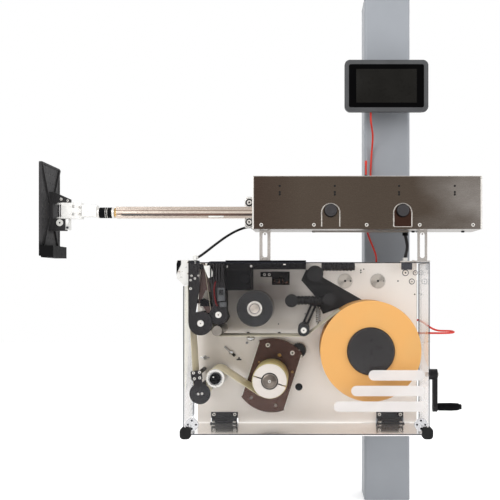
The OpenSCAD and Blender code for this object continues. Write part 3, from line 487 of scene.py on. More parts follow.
# The CAD nodes that wear each look
NODE_LOOKS = {
    "column": "column",
    "frame": "carriage_frame panel_bracket",
    "housing": "rear_housing",
    "bezel": "panel_housing",
    "black": "column_cap cable_arm unwind_hub hub_cap beam_roller_upper "
             "beam_roller_lower hinge_upper hinge_lower",
    "deep_black": "crank_grip tension_knob latch_left latch_right top_cover",
    "coated": "crank_arm nip_bracket print_side_plate print_head dancer_arm drive_motors",
    "nylon": "slide_pads",
    "gear": "gear_rack pinion_shaft",
    "plate": "base_plate",
    "dull": "roller_shafts",
    "pad": "vacuum_pad",
    "shaft": "pad_pin",
    "bright": "peel_bracket beam_head ribbon_hub",
    "roller": "guide_roller",
    "rubber": "nip_roller platen_roller dancer_roller",
    "bumper": "hood_bumpers",
    "label_roll": "label_roll",
    "ribbon": "ribbon_roll",
    "liner_roll": "liner_roll",
    "label": "label_web",
    "liner": "liner_web",
    "clamp_face": "rewind_mandrel",
    "flange": "rewind_flange",
    "cover": "applicator_cover",
    "inner": "applicator_frame cylinder_barrel",
    "post": "applicator_posts",
    "beam": "beam",
    "hood_floor": "hood_floor",
    "clear": "hood_shell",
    "spring": "dancer_spring",
    "glass": "panel_glass",
}


def dress_frame():
    for look, names in NODE_LOOKS.items():
        for name in names.split():
            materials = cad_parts[name].data.materials
            materials.clear()
            materials.append(looks[look].material)


# Mesh building

class Build:
    """One visible piece, gathered from simple turned, cut and swept shapes."""

    def __init__(self, name, look, body="carriage", slot=None):
        self.name, self.body, self.slot = name, body, slot
        self.worn, self.index = [look], 1
        self.bm = bmesh.new()

    def use(self, look):
        """The shapes added from here on wear this look."""
        self.mark()
        if look not in self.worn:
            self.worn.append(look)
        self.index = self.worn.index(look) + 1
        return self

    def mark(self):
        """Gives every face made since the last call the look in use, counted from 1."""
        for face in self.bm.faces:
            if face.material_index == 0:
                face.material_index = self.index

    def ring(self, centre, side, up, r, steps, corners=0):
        """Points of a circle, or of a polygon if it is given a number of corners."""
        points = []
        for i in range(steps):
            turn = 2 * math.pi * i / steps
            reach = r
            if corners:
                span = 2 * math.pi / corners
                reach = r * math.cos(span / 2) / math.cos(turn % span - span / 2)
            point = centre + side * (reach * math.cos(turn)) + up * (reach * math.sin(turn))
            points.append(self.bm.verts.new(point * MM))
        return points

    def lathe(self, at, axis, profile, steps=28):
        """Turns a profile of (radius, height) pairs; a third number makes that ring a polygon."""
        axis = Vector(axis).normalized()
        side = axis.orthogonal().normalized()
        up = axis.cross(side)
        rings = []
        for step in profile:
            centre = Vector(at) + axis * step[1]
            if step[0] == 0:
                rings.append([self.bm.verts.new(centre * MM)])
            else:
                rings.append(self.ring(centre, side, up, step[0], steps, *step[2:]))
        for low, high in zip(rings, rings[1:]):
            for i in range(steps):
                j = (i + 1) % steps
                corners = [low[i % len(low)], low[j % len(low)], high[j % len(high)], high[i % len(high)]]
                corners = list(dict.fromkeys(corners))
                if len(corners) > 2:
                    self.bm.faces.new(corners)
        return self

    def screw(self, at, r=2.6, axis=FRONT, height=None):
        """A socket head screw with a chamfered rim and a dark hexagon socket."""
        h = height or 0.7 * r
        look = self.worn[self.index - 1]
        self.lathe(at, axis, [(0, 0), (r, 0), (r, h - 0.15 * r), (0.85 * r, h), (0.5 * r, h, 6)], 24)
        self.use("socket")
        self.lathe(at, axis, [(0.5 * r, h, 6), (0.48 * r, 0.35 * h, 6), (0, 0.3 * h)], 24)
        return self.use(look)

    def disc(self, at, r, height, axis=FRONT, chamfer=0.3):
        return self.lathe(at, axis, [
            (0, 0), (r, 0), (r, height - chamfer), (r - chamfer, height), (0, height)])

    def washer(self, at, r, bore, height, axis=FRONT, chamfer=0.2):
        profile = [(bore, 0), (r, 0), (r, height - chamfer), (r - chamfer, height),
                   (bore + chamfer, height), (bore, height - chamfer), (bore, 0)]
        return self.lathe(at, axis, profile)

    def prism(self, outline, d0, d1):
        """An outline of [x, z] points between two distances from the base plate."""
        back = [self.bm.verts.new(place(x, d0, z) * MM) for x, z in outline]
        front = [self.bm.verts.new(place(x, d1, z) * MM) for x, z in outline]
        self.bm.faces.new(back)
        self.bm.faces.new(front)
        for i in range(len(outline)):
            j = (i + 1) % len(outline)
            self.bm.faces.new([back[i], back[j], front[j], front[i]])
        return self

    def box(self, low, high, r=0.6):
        """A box with its edges rounded off, between two corners in the frame's axes."""
        low, high = (Vector(pick(a, b) for a, b in zip(low, high)) for pick in (min, max))
        made = bmesh.ops.create_cube(self.bm, size=1)["verts"]
        for vert in made:
            vert.co = Vector((a + b) / 2 + (b - a) * c for a, b, c in zip(low, high, vert.co)) * MM
        edges = list({e for v in made for e in v.link_edges})
        r = min(r, 0.3 * min(high - low))
        bmesh.ops.bevel(self.bm, geom=edges, offset=r * MM, segments=2, profile=0.5, affect="EDGES")
        return self

    def tube(self, path, r, sides=12):
        """A round tube along a smooth line through points."""
        points = smooth_line(path)
        rings = []
        side = None
        for i, point in enumerate(points):
            ahead = points[min(i + 1, len(points) - 1)] - points[max(i - 1, 0)]
            ahead.normalize()
            side = ahead.orthogonal() if side is None else side - ahead * side.dot(ahead)
            side.normalize()
            rings.append(self.ring(point, side, ahead.cross(side), r, sides))
        for low, high in zip(rings, rings[1:]):
            for i in range(sides):
                j = (i + 1) % sides
                self.bm.faces.new([low[i], low[j], high[j], high[i]])
        self.bm.faces.new(rings[0])
        self.bm.faces.new(rings[-1])
        return self

    def done(self):
        """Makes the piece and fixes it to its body."""
        self.mark()
        for face in self.bm.faces:
            face.material_index -= 1
        bmesh.ops.recalc_face_normals(self.bm, faces=self.bm.faces)
        mesh = bpy.data.meshes.new(self.name)
        self.bm.to_mesh(mesh)
        self.bm.free()
        for polygon in mesh.polygons:
            polygon.use_smooth = True
        mesh.set_sharp_from_angle(angle=math.radians(32))
        for look in self.worn:
            mesh.materials.append(looks[look].material)
        piece = bpy.data.objects.new(self.name, mesh)
        scene.collection.objects.link(piece)
        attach(piece, self.body)
        return piece


def smooth_line(path, parts=4):
    """Points of a Catmull-Rom curve through the given ones."""
    path = [Vector(p) for p in path]
    ends = [2 * path[0] - path[1]] + path + [2 * path[-1] - path[-2]]
    line = []
    for a, b, c, d in zip(ends, ends[1:], ends[2:], ends[3:]):
        for i in range(parts):
            t = i / parts
            line.append(0.5 * (2 * b + (c - a) * t + (2 * a - 5 * b + 4 * c - d) * t ** 2
                               + (3 * b - a - 3 * c + d) * t ** 3))
    return line + [path[-1]]


# Cords, along the routes of the part's source

CORDS = {
    "signal_upper": dict(body="column", look="red", slot="cable_red", node="signal_cable_upper", diameter=5,
                         far_end="object", stiffness="limp", lay="hanging", route=[
        (-48, -128, 1013), (-48, -128, 1004), (-48, -127, 995), (-47, -124, 985), (-45, -117, 976),
        (-43, -107, 968), (-41, -96, 960), (-40, -85, 950), (-40, -75, 937), (-41, -68, 921),
        (-42, -65, 903), (-43, -64, 884), (-44, -64, 864), (-44, -64, 844), (-44, -64, 824),
        (-44, -64, 804), (-44, -64, 790)]),
    "signal_lower": dict(body="carriage", look="red", slot="cable_red", node="signal_cable_lower",
                         diameter=5, far_end="connector", stiffness="limp", lay="hanging", route=[
        (-34, -128, 625), (-34, -128, 634), (-35, -126, 644), (-38, -121, 655), (-43, -114, 669),
        (-49, -108, 685), (-54, -103, 701), (-57, -100, 718), (-58, -98, 736), (-59, -97, 754),
        (-59, -96, 772), (-59, -95, 790), (-58, -94, 808), (-58, -93, 826), (-58, -92, 844),
        (-58, -92, 862), (-58, -92, 880)]),
    "air_front": dict(body="carriage", look="hose", slot="hose_black", node="air_hose_front", diameter=6,
                      far_end="object", stiffness="medium", lay="hanging", route=[
        (-341.5, -190, 713), (-348, -190, 713), (-357.7, -191.1, 712.2), (-367.3, -194.4, 710),
        (-376.8, -199.5, 706.5), (-386.1, -206.2, 702), (-395.1, -214.4, 696.6),
        (-403.9, -223.6, 690.5), (-412.5, -233.9, 683.9), (-420.7, -244.8, 676.9),
        (-428.5, -256.1, 669.8), (-436, -267.6, 662.8), (-443, -279.2, 655.9),
        (-449.6, -290.4, 649.5), (-455.7, -301.2, 643.7), (-461.2, -311.2, 638.6),
        (-466.2, -320.2, 634.5), (-470.5, -328, 631.5)]),
    "air_rear": dict(body="carriage", look="hose", slot="hose_black", node="air_hose_rear", diameter=8,
                     far_end="object", stiffness="medium", lay="taut", route=[
        (34, -184, 701), (34, -184, 693), (36, -184, 684), (38, -184, 674), (39, -184, 664),
        (38, -184, 654), (36, -184, 645), (34, -184, 636), (34, -184, 628)]),
    "power_loop": dict(body="carriage", look="red", slot="cable_red", node="power_lead", diameter=5,
                       far_end="object", stiffness="limp", lay="loose", route=[
        (64, -132, 478), (72, -132, 478), (82, -132, 474), (92, -132, 467), (102, -132, 460.5),
        (112, -132, 455), (122, -132, 451.8), (132, -132, 450.7), (142, -132, 450.5),
        (151, -132, 450.4), (156.5, -133.5, 450), (160.5, -137.5, 449.4), (162, -143, 448.6),
        (160.5, -148.5, 447.8), (156.5, -152.5, 447.1), (151, -154, 446.6), (140, -154, 446.2),
        (128, -154, 446), (115, -154, 446), (102, -154, 446), (89, -154, 446), (76, -154, 446),
        (64, -154, 446)]),
}


def signal_plug():
    """The moulded connector on the upper end of the lower signal cable."""
    plug = Build("signal_plug", "red", slot="cable_red")
    plug.lathe((-58, -92, 879), UP, [(2.6, 0), (3, 1), (3.2, 3), (3.2, 11), (2.8, 12), (0, 12)], 20)
    return plug.done()


def make_cords():
    for name, cable in CORDS.items():
        build = Build(name, cable["look"], cable["body"], cable["slot"])
        cord = build.tube(cable["route"], cable["diameter"] / 2).done()
        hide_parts(cable["node"])
        [signal_plug()] if cable["far_end"] == "connector" else []


def collar(build, cord, index, axis, r, length, tip=1.4):
    """A chamfered collar on a hose: index 0 is the end that its route starts from and -1 the other."""
    bore = CORDS[cord]["diameter"] / 2 + 0.3
    build.lathe(CORDS[cord]["route"][index], axis, [
        (bore, 0), (r, 0), (r, length), (r - 1, length + tip), (bore, length + tip)])


# Pieces added to the frame

def screws(name, d, spots, look="screw", r=2.6, body="carriage"):
    """Socket screws at one distance d, each at x and z, with its own radius if it has a third number."""
    build = Build(name, look, body)
    for x, z, *own in spots:
        build.screw(place(x, d, z), own[0] if own else r)
    return build.done()


def rounded_outline(x, z, r, steps=6):
    """The corners of a rectangle in x and z, rounded off with arcs."""
    outline = []
    corners = ((x[1] - r, z[1] - r), (x[0] + r, z[1] - r), (x[0] + r, z[0] + r), (x[1] - r, z[0] + r))
    for quarter, (cx, cz) in enumerate(corners):
        for i in range(steps + 1):
            turn = math.pi / 2 * (quarter + i / steps)
            outline.append((cx + r * math.cos(turn), cz + r * math.sin(turn)))
    return outline


def base_plate_details():
    # Painted shade: thin dark discs on the plate's face where its holes are.
    holes = Build("plate_holes", "socket")
    for x, z, r in [(-76.4, 605.1, 1.9), (-76.4, 599.3, 1.9), (-68.9, 607.6, 1.5), (17, 578, 1.8),
                    (59, 544.4, 1.8), (32.1, 496.1, 1.8), (-206, 571, 1.6), (-216, 496, 1.6),
                    (-351, 470, 1.5), (-283, 470, 1.5)]:
        holes.disc(place(x, 0, z), r, 0.2, chamfer=0.05)
    for x, r in [(-102.3, 2.2), (-19.5, 1.2), (BOSS_X["left"], 2.9), (BOSS_X["right"], 2.9)]:
        holes.disc(place(x, BOSS_FACE, BOSS_Z), r, 0.25, chamfer=0.05)
    holes.done()
    corner_bolts = [(35.7, 598.6, 8.3, 6.5), (60.3, 598.6, 6.2, 4.6), (51.6, 576.8, 7.4, 5.6)]
    rims = Build("plate_rims", "smoked")
    for x, z, rim, _ in corner_bolts:
        rims.washer(place(x, 0, z), rim, 0.5 * rim, 0.5)
    for x in BOSS_X.values():
        rims.washer(place(x, 0, BOSS_Z), 18.4, 17.4, 2.6)
    rims.done()
    for side, x in BOSS_X.items():
        boss = Build("boss_face_" + side, "boss_" + side)
        boss.washer(place(x, BOSS_FACE, BOSS_Z), 17.4, 3.2, 0.15).done()
    bolts = Build("plate_bolts", "plate")
    for x, z, _, r in corner_bolts:
        bolts.washer(place(x, 0, z), r, 0.6 * r, 1.2).screw(place(x, 0.4, z), 0.62 * r)
    bolts.done()
    clamp = Build("corner_clamp", "smoked")
    clamp.box(place(23, 24, 606), place(50, 22, 625.5), 0.8)
    clamp.use("edge_steel").box(place(52, 24, 606), place(54.5, 22, 625.5), 0.4)
    clamp.box(place(22, 24.6, 623), place(54.5, 22, 625.8), 0.3)
    collar(clamp.use("bright"), "air_rear", -1, UP, 6.6, 7)
    clamp.done()


def web_fittings():
    """Small latches and stops on the lower left of the base plate."""
    fitting = Build("web_sensor_stops", "shaft")
    fitting.screw(place(-467.4, 0, 386), 5.2, height=4.5)
    fitting.box(place(-479, 2, 384.6), place(-456, 0, 387.4), 0.5)
    fitting.box(place(-407, 9, 395), place(-396, 0, 405), 2)
    fitting.tube([place(-418, 5, 414), place(-408, 5, 405), place(-400, 5, 398)], 2.6)
    fitting.tube([place(-352, 7, 444), place(-352, 7, 429)], 3)
    fitting.box(place(-362, 10, 430), place(-343, 0, 439), 2)
    fitting.screw(place(-362, 0, 423), 3.2)
    fitting.use("coated")
    fitting.tube([place(-399, 5, 397), place(-392, 5, 390)], 3.4)
    fitting.tube([place(-388, 3, 381), place(-376, 3, 381)], 1.6)
    fitting.tube([place(-382, 3, 381), place(-382, 3, 387)], 1.8)
    for x in (-358.9, -281):
        fitting.disc(place(x, 0, 445.8), 4.2, 5)
    fitting.done()


def tension_wheel():
    """A knob with square teeth round it; each tooth takes four points of its outline."""
    x, z, r, teeth, depth = -232, 405, 19, 22, 2.2
    back, front = 7, 20
    outline = []
    for i in range(teeth * 4):
        reach = r if i % 4 in (0, 1) else r - depth
        turn = 2 * math.pi * i / (teeth * 4)
        outline.append((x + reach * math.cos(turn), z + reach * math.sin(turn)))
    wheel = Build("tension_wheel", "black")
    wheel.prism(outline, back, front).disc(place(x, 0, z), 0.45 * r, back + 0.2)
    wheel.use("screw").screw(place(x, front, z), 3).done()


def window_details():
    """The switches behind the recess and the bracket above it."""
    inside = Build("recess_switches", "deep_black")
    inside.prism([(-299.5, 568.5), (-255.5, 568.5), (-255.5, 601), (-299.5, 601)], -30, -28)
    inside.box(place(-297, -12, 570), place(-257, -28, 598))
    inside.use("flange")
    for left, right in ((-296, -279), (-275, -259)):
        inside.box(place(left, -5, 572), place(right, -20, 585), 1)
    inside.use("socket").disc(place(-287, -5, 578), 4.6, 0.6).disc(place(-267, -5, 578), 4.6, 0.6)
    inside.use("brass").disc(place(-277, -6, 590), 1.6, 2)
    inside.done()
    bracket = Build("recess_bracket", "coated")
    bracket.prism([(-328, 588), (-290, 588), (-272, 590), (-262, 578), (-258, 578), (-262, 600.5),
                   (-290, 600.5), (-328, 600.5)], 0.2, 7)
    bracket.use("screw").screw(place(-318, 7, 594), 3.6).screw(place(-306, 7, 594), 3.6)
    bracket.done()
    Build("lower_hole_shade", "socket").disc(place(-232, -7, 312), 11, 2).done()


def side_plate_details():
    side = face_of("print_side_plate")
    screws("side_plate_screws", side, [
        (-480.3, 590.1), (-482.7, 579.9), (-472.4, 583.8), (-464.5, 590.6, 2.1),
        (-482.7, 560.1, 3), (-472, 621, 2.4)])
    screws("peel_bracket_screws", 160, [
        (-489.3, 621.4), (-510.1, 599.9), (-489.3, 595), (-470, 607, 1.8)], "plate", 2.7)
    Build("peel_corner", "deep_black").prism([
        (-516, 594), (-512, 604), (-505.8, 616), (-505.8, 626), (-513, 626), (-516, 618)],
        160, 161.2).done()
    x, z = PLATEN
    ends = Build("platen_end", "screw", "platen")
    ends.washer(place(x, side + 0.2, z), 7.6, 2.6, 2.2).screw(place(x, side + 0.4, z), 3).done()
    lever = Build("lever_screw", "screw")
    lever.washer(place(-418.4, 159.5, 499), 7.4, 2.8, 1.8).screw(place(-418.4, 159.6, 499), 3.2).done()


def print_head_details():
    """The head's connectors and leads, and dark plates that paint in the shade seen between the side plate
    and the ribbon.
    """
    Build("head_connector", "white").prism([
        (-452, 614), (-438, 614), (-430.6, 599), (-431.7, 588), (-441.3, 585), (-451, 608.5)],
        159.5, 168).done()
    # Painted shade: black and brown plates put where the web and the head's side lie in shade.
    dark = Build("head_shade_plates", "deep_black")
    dark.prism([(-446, 614), (-443, 622), (-436, 624), (-400, 624), (-400, 608), (-440, 608)], 150, 159.4)
    dark.prism([(-462, 534), (-452, 536), (-437, 531), (-433, 519), (-462, 519)], 147, 152)
    dark.use("wire_brown")
    dark.prism([(-460, 620), (-451, 620), (-443.5, 584), (-437.2, 550), (-441.4, 555), (-450, 556),
                (-459.4, 531), (-466, 522), (-463.7, 566)], 148, 150.4)
    dark.prism([(-456, 520), (-433, 519), (-432, 503), (-446, 503)], 147, 150)
    # A painted highlight: a small white disc.
    dark.use("nylon").disc(place(-460, 152, 512), 3.6, 3)
    dark.done()
    route = [(-425, 161, 577), (-428, 164, 560), (-427, 165, 545), (-424, 164, 528), (-421, 162, 520)]
    Build("head_wires", "wire_dark").tube([place(*point) for point in route], 2).done()
    plug = Build("head_plug", "bezel")
    plug.box(place(-420, 168, 531), place(-403, 159.5, 562), 1.5)
    plug.box(place(-415, 166, 517), place(-399, 159.5, 529), 1.5)
    plug.use("hose").box(place(-417, 168.4, 545), place(-406, 168, 558), 0.3)
    plug.done()
    elbow = Build("hose_elbow", "white", slot="bright_aluminium")
    elbow.lathe(place(-473.5, 159.5, 634), UP, [(4.8, 0), (4.8, 2.6), (3.6, 4.2), (0, 4.2)])
    elbow.lathe(place(-472.6, 158.2, 631.4), (0.44, 0.8, 0.30), [
        (0, 0), (4.1, 0), (4.1, 6.5), (3.4, 7), (3.1, 7)])
    elbow.done()
    front = face_of("top_cover")
    cover = Build("cover_seam", "screw")
    cover.screw(place(-402, front, 612), 2.6).screw(place(-344, front, 613), 2.6)
    cover.use("coated").box(place(-401, front + 0.5, 604.6), place(-348, front, 606), 0.2)
    cover.use("plate").box(place(-268, front + 0.4, 616), place(-262, front, 618.6), 0.2)
    cover.done()


def guide_details():
    x, z = GUIDE
    shaft = face_of("roller_shafts")
    cap = Build("guide_end_cap", "deep_black")
    cap.lathe(place(x, shaft, z), FRONT, [
        (0, 0), (13.2, 0), (13.2, 1.5), (12, 2.6), (8.5, 2.6), (7.5, 1.6), (0, 1.6)])
    cap.use("screw").lathe(place(x - 4, shaft + 1.6, z + 4), FRONT, [
        (0, 0), (1.6, 0), (1.6, 0.4), (0, 0.4)])
    cap.done()
    rim = Build("guide_rim", "screw", "guide")
    rim.washer(place(x, face_of("guide_roller"), z), 21.4, 16.4, 0.3, chamfer=0.1).done()
    screws("nip_screws", face_of("nip_bracket"), [
        (-465.2, 314.7, 2.7), (-456.1, 315.9, 2.7), (-475.9, 364.1, 3.3),
        (-461.7, 365.7, 3.3), (-473.8, 350.3, 3.3), (-461.2, 352.6, 3.3)])


def rewinder_details():
    cx, cz = REWIND
    face = face_of("rewind_mandrel")
    hub = Build("rewind_hub_face", "socket", "rewinder")
    hub.washer(place(cx, face - 7, cz), 20, 17.1, 0.4, chamfer=0.1)
    hub.use("hub_face").lathe(place(cx, face, cz), FRONT, [
        (17, 0), (17, 0.6), (16, 1.2), (3.5, 1.2), (3.5, 0.6), (1.4, 0.6), (1.4, 0.1), (0, 0.1)])
    hub.use("socket").washer(place(cx, face + 1.1, cz), 13.6, 12.8, 0.2, chamfer=0.05)
    hub.use("screw").screw(place(cx, face + 0.7, cz), 3.6)
    hub.use("brass").box(place(cx + 32.5, face - 5, 324), place(cx + 37.5, face - 10, 333), 1)
    hub.done()
    lips = face_of("rewind_flange")
    turn = math.radians(17.7)

    def on_flange(x, z, height=0):
        """A place level with the flange's lips, x and z counted from its centre along its flats."""
        return place(cx + x * math.cos(turn) + z * math.sin(turn), lips + height,
                     cz - x * math.sin(turn) + z * math.cos(turn))

    # Real screws, painted bright white as a highlight.
    bolts = Build("flange_screws", "glint", "rewinder")
    bolts.screw(on_flange(-32, 69), 5.6).screw(on_flange(32, 69), 5.6).done()
    stud = Build("flange_stud", "brass", "rewinder")
    stud.tube([on_flange(-2, 54, 1.6), on_flange(8, 54, 1.6)], 2).screw(on_flange(3, 54), 4.2)
    stud.screw(on_flange(-40, 22), 2.4).screw(on_flange(46, 24), 3)
    stud.done()
    # Painted highlights along the flange's two flat edges.
    rims = Build("flange_rim_glints", "glint", "rewinder")
    for side in (-1, 1):
        rims.tube([on_flange(side * 55.2, -71), on_flange(side * 55.2, 71)], 1.3, 8)
    rims.done()
    tension_wheel()


def roll_details():
    """The ends of the ribbon hub, the dancer and the label roll's hub."""
    x, z = RIBBON
    face = face_of("ribbon_hub")
    ribbon = Build("ribbon_hub_face", "ribbon_face", "ribbon_supply")
    ribbon.lathe(place(x, face, z), FRONT, [
        (15, 0), (14.4, 0.8), (12.6, 0.8), (12.2, 0.2), (10.8, 0.2), (10.4, 0.9), (9, 1.2), (0, 1.2)])
    ribbon.washer(place(x, face - 2, z), 18, 15.2, 0.8)
    ribbon.use("grey").washer(place(x, face + 0.2, z), 12.6, 10.6, 0.25, chamfer=0.05)
    ribbon.washer(place(x, face - 1.2, z), 15.9, 15, 0.2, chamfer=0.05)
    ribbon.done()
    x, z = DANCER
    face = face_of("dancer_arm")
    dancer = Build("dancer_cap", "screw", "dancer")
    dancer.washer(place(x, face, z), 7, 2.2, 1.2).screw(place(x, face + 0.2, z), 3).done()
    cap = Build("hub_cap_dish", "hub_dome", "supply_roll")
    cap.lathe(place(ROLL[0], face_of("hub_cap") - 0.2, ROLL[1]), FRONT, [
        (0, -0.2), (53.6, 0), (53, 1.2), (50, 2.2), (26, 3.0), (0, 3.2)], 64)
    cap.done()


def arch(x, r, steps=12):
    """The round top of a latch's slit, from its left to its right."""
    turns = [math.pi * i / steps for i in range(steps + 1)]
    return [(x - r * math.cos(turn), 740 + r * math.sin(turn)) for turn in turns]


def cover_details():
    screws("cover_screws", COVER_FACE, [
        (x, 710.8, 4.3) for x in (-319.8, -195.3, -70.6, 54.9, 181.2)])
    # Painted shade: thin dark discs on the cover's face over its holes.
    holes = Build("cover_holes", "socket")
    for x in (-276.2, -145.8, 6.3, 138.2):
        for z in (803.1, 788.6, 783):
            holes.disc(place(x, COVER_FACE, z), 2.6, 0.15, chamfer=0.05)
    holes.done()
    feet = Build("service_feet", "deep_black")
    for x in (-194.8, 50.2, 172.8):
        feet.lathe(place(x, 40, COVER_LOW), DOWN, [(0, 0), (4.2, 0), (4.2, 2.2), (3.2, 3.4), (0, 3.4)], 16)
    collar(feet, "air_rear", 0, DOWN, 7, 9, tip=1)
    collar(feet, "air_front", 0, LEFT, 6, 7)
    feet.done()
    # Painted highlights: thin light tubes along the latches' slit edges, under the right slit and along the
    # cover's top edge.
    arches = Build("latch_arch_glints", "edge_steel")
    foot, spring = 707, 724
    for x in LATCH_X.values():
        for r in (22.1, 20.7):
            line = [(x - r, foot), (x - r, spring)] + arch(x, r) + [(x + r, spring), (x + r, foot)]
            arches.tube([place(at, COVER_FACE, z) for at, z in line], 0.5, 8)
    right = LATCH_X["right"]
    arches.tube([place(right - 21, COVER_FACE, 706.4), place(right + 21, COVER_FACE, 706.4)], 0.7, 8)
    arches.tube([place(x, COVER_FACE, COVER_HIGH - 0.6) for x in (-337, 198.6)], 0.5, 8)
    arches.done()
    r = 20.2
    outline = arch(right, r) + [(right + r, foot), (right - r, foot)]
    Build("latch_window", "flange").prism(outline, COVER_FACE, COVER_FACE + 0.2).done()
    edges = Build("cover_edges", "screw")
    low, high = COVER_LOW + 0.4, COVER_HIGH - 0.4
    for left, right in ((-341.4, -337.6), (199.1, 202.6)):
        edges.box(place(left, COVER_FACE + 1, low), place(right, COVER_FACE, high), 0.3)
    edges.done()


def beam_roller_details():
    for name, low, screw_z in (("upper", -10, 13), ("lower", -12, -9)):
        x, z = axis_of("beam_roller_" + name)
        rim = Build("beam_roller_rim_" + name, "screw", name + "_roller")
        rim.washer(place(x, face_of("beam_roller_" + name), z), 10.6, 9.4, 0.3).done()
        cap = Build("beam_roller_cap_" + name, "screw")
        cap.washer(place(x, 72, z), 5.8, 2.4, 1.4).use("socket").disc(place(x, 72, z), 2.5, 0.5)
        cap.use("bright").box(place(x - 12.6, 40.4, z + low), place(x + 10.4, 37, z + 16.5), 1.2)
        cap.use("screw").screw(place(x - 8, 40.4, z + screw_z), 1.8)
        cap.done()


def latch_details():
    for side, x in LATCH_X.items():
        face = Build("latch_face_" + side, "latch_black", side + "_latch")
        face.lathe(place(x, face_of("latch_" + side) - 0.3, 744.6), FRONT, [
            (0, 0.1), (6, 0.1), (7, 0.5), (11, 0.6), (13.6, 0.2), (13.9, 0)], 40).done()


def post_details():
    screws("post_screws", face_of("applicator_posts"), [
        (-314.5, 693, 2.4), (-320, 634, 2.2), (-309, 634, 2.2), (71, 693, 2.4)], "plate")
    foot = Build("post_foot_screws", "screw")
    for x in (54, 84):
        foot.lathe(place(x, 16, 628), UP, [(0, 0), (3.4, 0), (3.4, 2), (3, 2.4), (0, 2.4)], 16)
    foot.done()


def beam_details():
    front = face_of("beam")
    face = Build("beam_stripe", "stripe", "arm")
    face.box(place(-664, front + 0.4, 737.2), place(-152, front, 741.4), 0.1)
    face.use("white").box(place(-451.5, front + 0.5, 732.6), place(-414.5, front, 736.8), 0.1)
    face.done()
    middle = 55
    z = axis_of("beam")[1]
    start = place(-724, middle, z)
    sleeve = Build("damper_sleeve", "deep_black", "arm")
    profile = [(12.6, 5.4), (13.1, 6), (13.1, 9)]
    for i in range(5):
        at = 9 + i * 4.6
        profile += [(13.1, at + 0.6), (12.7, at + 1.2), (12.7, at + 1.9), (13.2, at + 2.5),
                    (13.2, at + 4.2)]
    profile += [(13.2, 34), (12.6, 35)]
    sleeve.lathe(start, RIGHT, profile, 40)
    sleeve.use("screw").lathe(start, RIGHT, [(12.4, 0.2), (13.4, 0.6), (13.4, 4.6), (12.4, 5)], 40)
    sleeve.lathe(start, RIGHT, [(12.4, 36), (13.4, 36.4), (13.4, 41), (12.4, 41.4)], 40)
    for at in (19.5, 24):
        sleeve.lathe(start, RIGHT, [(12.6, at), (13.4, at + 0.3), (13.4, at + 1.1), (12.6, at + 1.4)], 40)
    sleeve.done()
    nut = Build("beam_nut", "brass", "arm")
    nut.lathe(place(edge("beam", 0, "x"), middle, z), LEFT, [
        (0, 0), (12, 0, 6), (12, 4.6, 6), (10.4, 5.6, 6), (0, 5.6)], 36).done()
    screws("head_screws", front - 2, [
        (-766, 758, 3.2), (-766, 741.5, 3.2), (-781, 759.6, 1.6), (-781, 740.7, 1.6)], body="arm")
    seam = Build("head_seam", "socket", "arm")
    seam.box(place(-761.6, front + 0.1, 736), place(-760.8, front, 762), 0.1).done()


def pad_details():
    disc = Build("pad_pivot_disc", "white", "pad")
    disc.washer(place(-814, 67, 720), 8.4, 2.2, 2).use("socket").disc(place(-814, 67, 720), 2.3, 1)
    disc.use("screw").screw(place(-811, 65, 777.6), 3.4)
    disc.screw(place(-795, 65, 774), 2.6)
    disc.use("bright").box(place(-801, 66, 703), place(-791, 45, 729.4), 1)
    disc.use("grey").screw(place(-795.5, 66, 708), 3.2)
    disc.done()


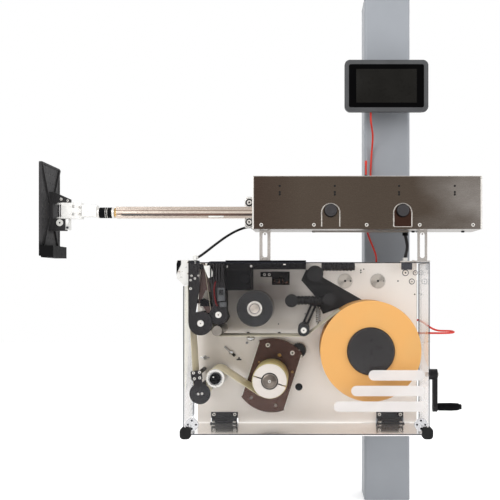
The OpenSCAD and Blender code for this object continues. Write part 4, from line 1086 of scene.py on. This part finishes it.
def hood_details():
    front = face_of("hood_shell")
    right, height = 60, 24
    for index, (z, left) in enumerate(((277, -150), (313, -110), (349, -70))):
        strip = Build("frosted_stripe_%d" % (index + 1), "frosted", "hood")
        outline = rounded_outline((left, right), (z, z + height), 11.9, 10)
        strip.prism(outline, front + 0.02, front + 0.3).done()
    for name, sign, side in (("left", 1, 0), ("right", -1, 1)):
        plate = Build("corner_bracket_" + name, "shaft", "hood")
        at = place(edge("hood_shell", side, "x") + sign * 19.5, front - 4.6, 247)
        plate.disc(at, 15.5, 1.4)
        plate.use("deep_black")
        for x, z in ((0, 9.5), (-9.3, 0), (9.3, 0), (0, -9.3)):
            plate.screw(at + Vector((x, 0, z)), 2.5, (0, 1, 0))
            plate.disc(at + Vector((x, -1.4, z)), 2.3, 0.4, chamfer=0.1)
        plate.box(at + Vector((sign * -1.5, -1.4, -1)), at + Vector((sign * -2.5, -1.6, -14)), 0.1)
        plate.done()
    hinges = Build("hinge_screws", "screw")
    for x in HINGE_HOLES:
        hinges.screw(place(x, 2.5, 243.5), 4.2)
    hinges.use("black")
    for left, right in HINGE_ENDS:
        middle = (left + right) / 2
        hinges.box(place(middle - 17, 4, 233.5), place(middle + 17, 0.2, 240), 1)
    hinges.done()
    lower = Build("hinge_floor_screws", "screw", "hood")
    for x in HINGE_HOLES:
        lower.screw(place(x, 21, edge("hinge_lower", 0, "z") + 2.5), 4, UP)
    lower.done()


def panel_details():
    front = face_of("panel_glass")
    x, z = axis_of("panel_glass")
    half_w, half_h = 76.8, 42.8
    low, high = place(x - half_w, front - 0.4, z - half_h), place(x + half_w, front - 0.1, z + half_h)
    Build("panel_display", "display", "column").box(low, high, 0.1).done()
    Build("cable_clip", "deep_black", "column").box((-50, -70, 779), (-38, -60, 791), 1.5).done()
    bracket = Build("signal_bracket", "coated")
    back = edge("applicator_frame", 1, "y")
    bracket.box((-66, back, 806), (-54, back + 2, 824))
    bracket.box((-66, back, 812), (-54, -84, 815))
    bracket.box((-61, -89.3, 812), (-55, -87.3, 878), 0.4)
    bracket.lathe((-58, -92, 848), UP, [(2.5, 0), (4, 0), (4, 6), (2.5, 6)], 20)
    bracket.done()


def drive_details():
    shaft_end = (edge("pinion_shaft", 1, "x"), edge("crank_arm", 1, "y") - 14, 335)
    bolt = Build("crank_bolt", "screw", "crank")
    bolt.lathe(shaft_end, RIGHT, [
        (0, 0), (6.4, 0), (6.4, 3.4), (5.8, 4), (3, 4, 6), (2.8, 1.4, 6), (0, 1.2)], 24).done()


scene.view_settings.view_transform = "Standard"
make_camera()
make_cords()
make_world()
make_floor()
make_front_card()
make_lamp("key", location=(-1.9, -2.5, 1.9), target=(-0.2, -0.2, 0.7), size=(1.8, 1.8), power=44)
make_lamp("fill", location=(2.2, -2.0, 1.4), target=(-0.1, -0.2, 0.6), size=(1.4, 2.0), power=26)
make_lamp("back", location=(0.6, 2.2, 2.4), target=(-0.2, 0.0, 0.8), size=(1.8, 1.2), power=30)
dress_frame()
base_plate_details()
web_fittings()
window_details()
side_plate_details()
print_head_details()
guide_details()
rewinder_details()
roll_details()
cover_details()
beam_roller_details()
latch_details()
post_details()
beam_details()
pad_details()
hood_details()
panel_details()
drive_details()
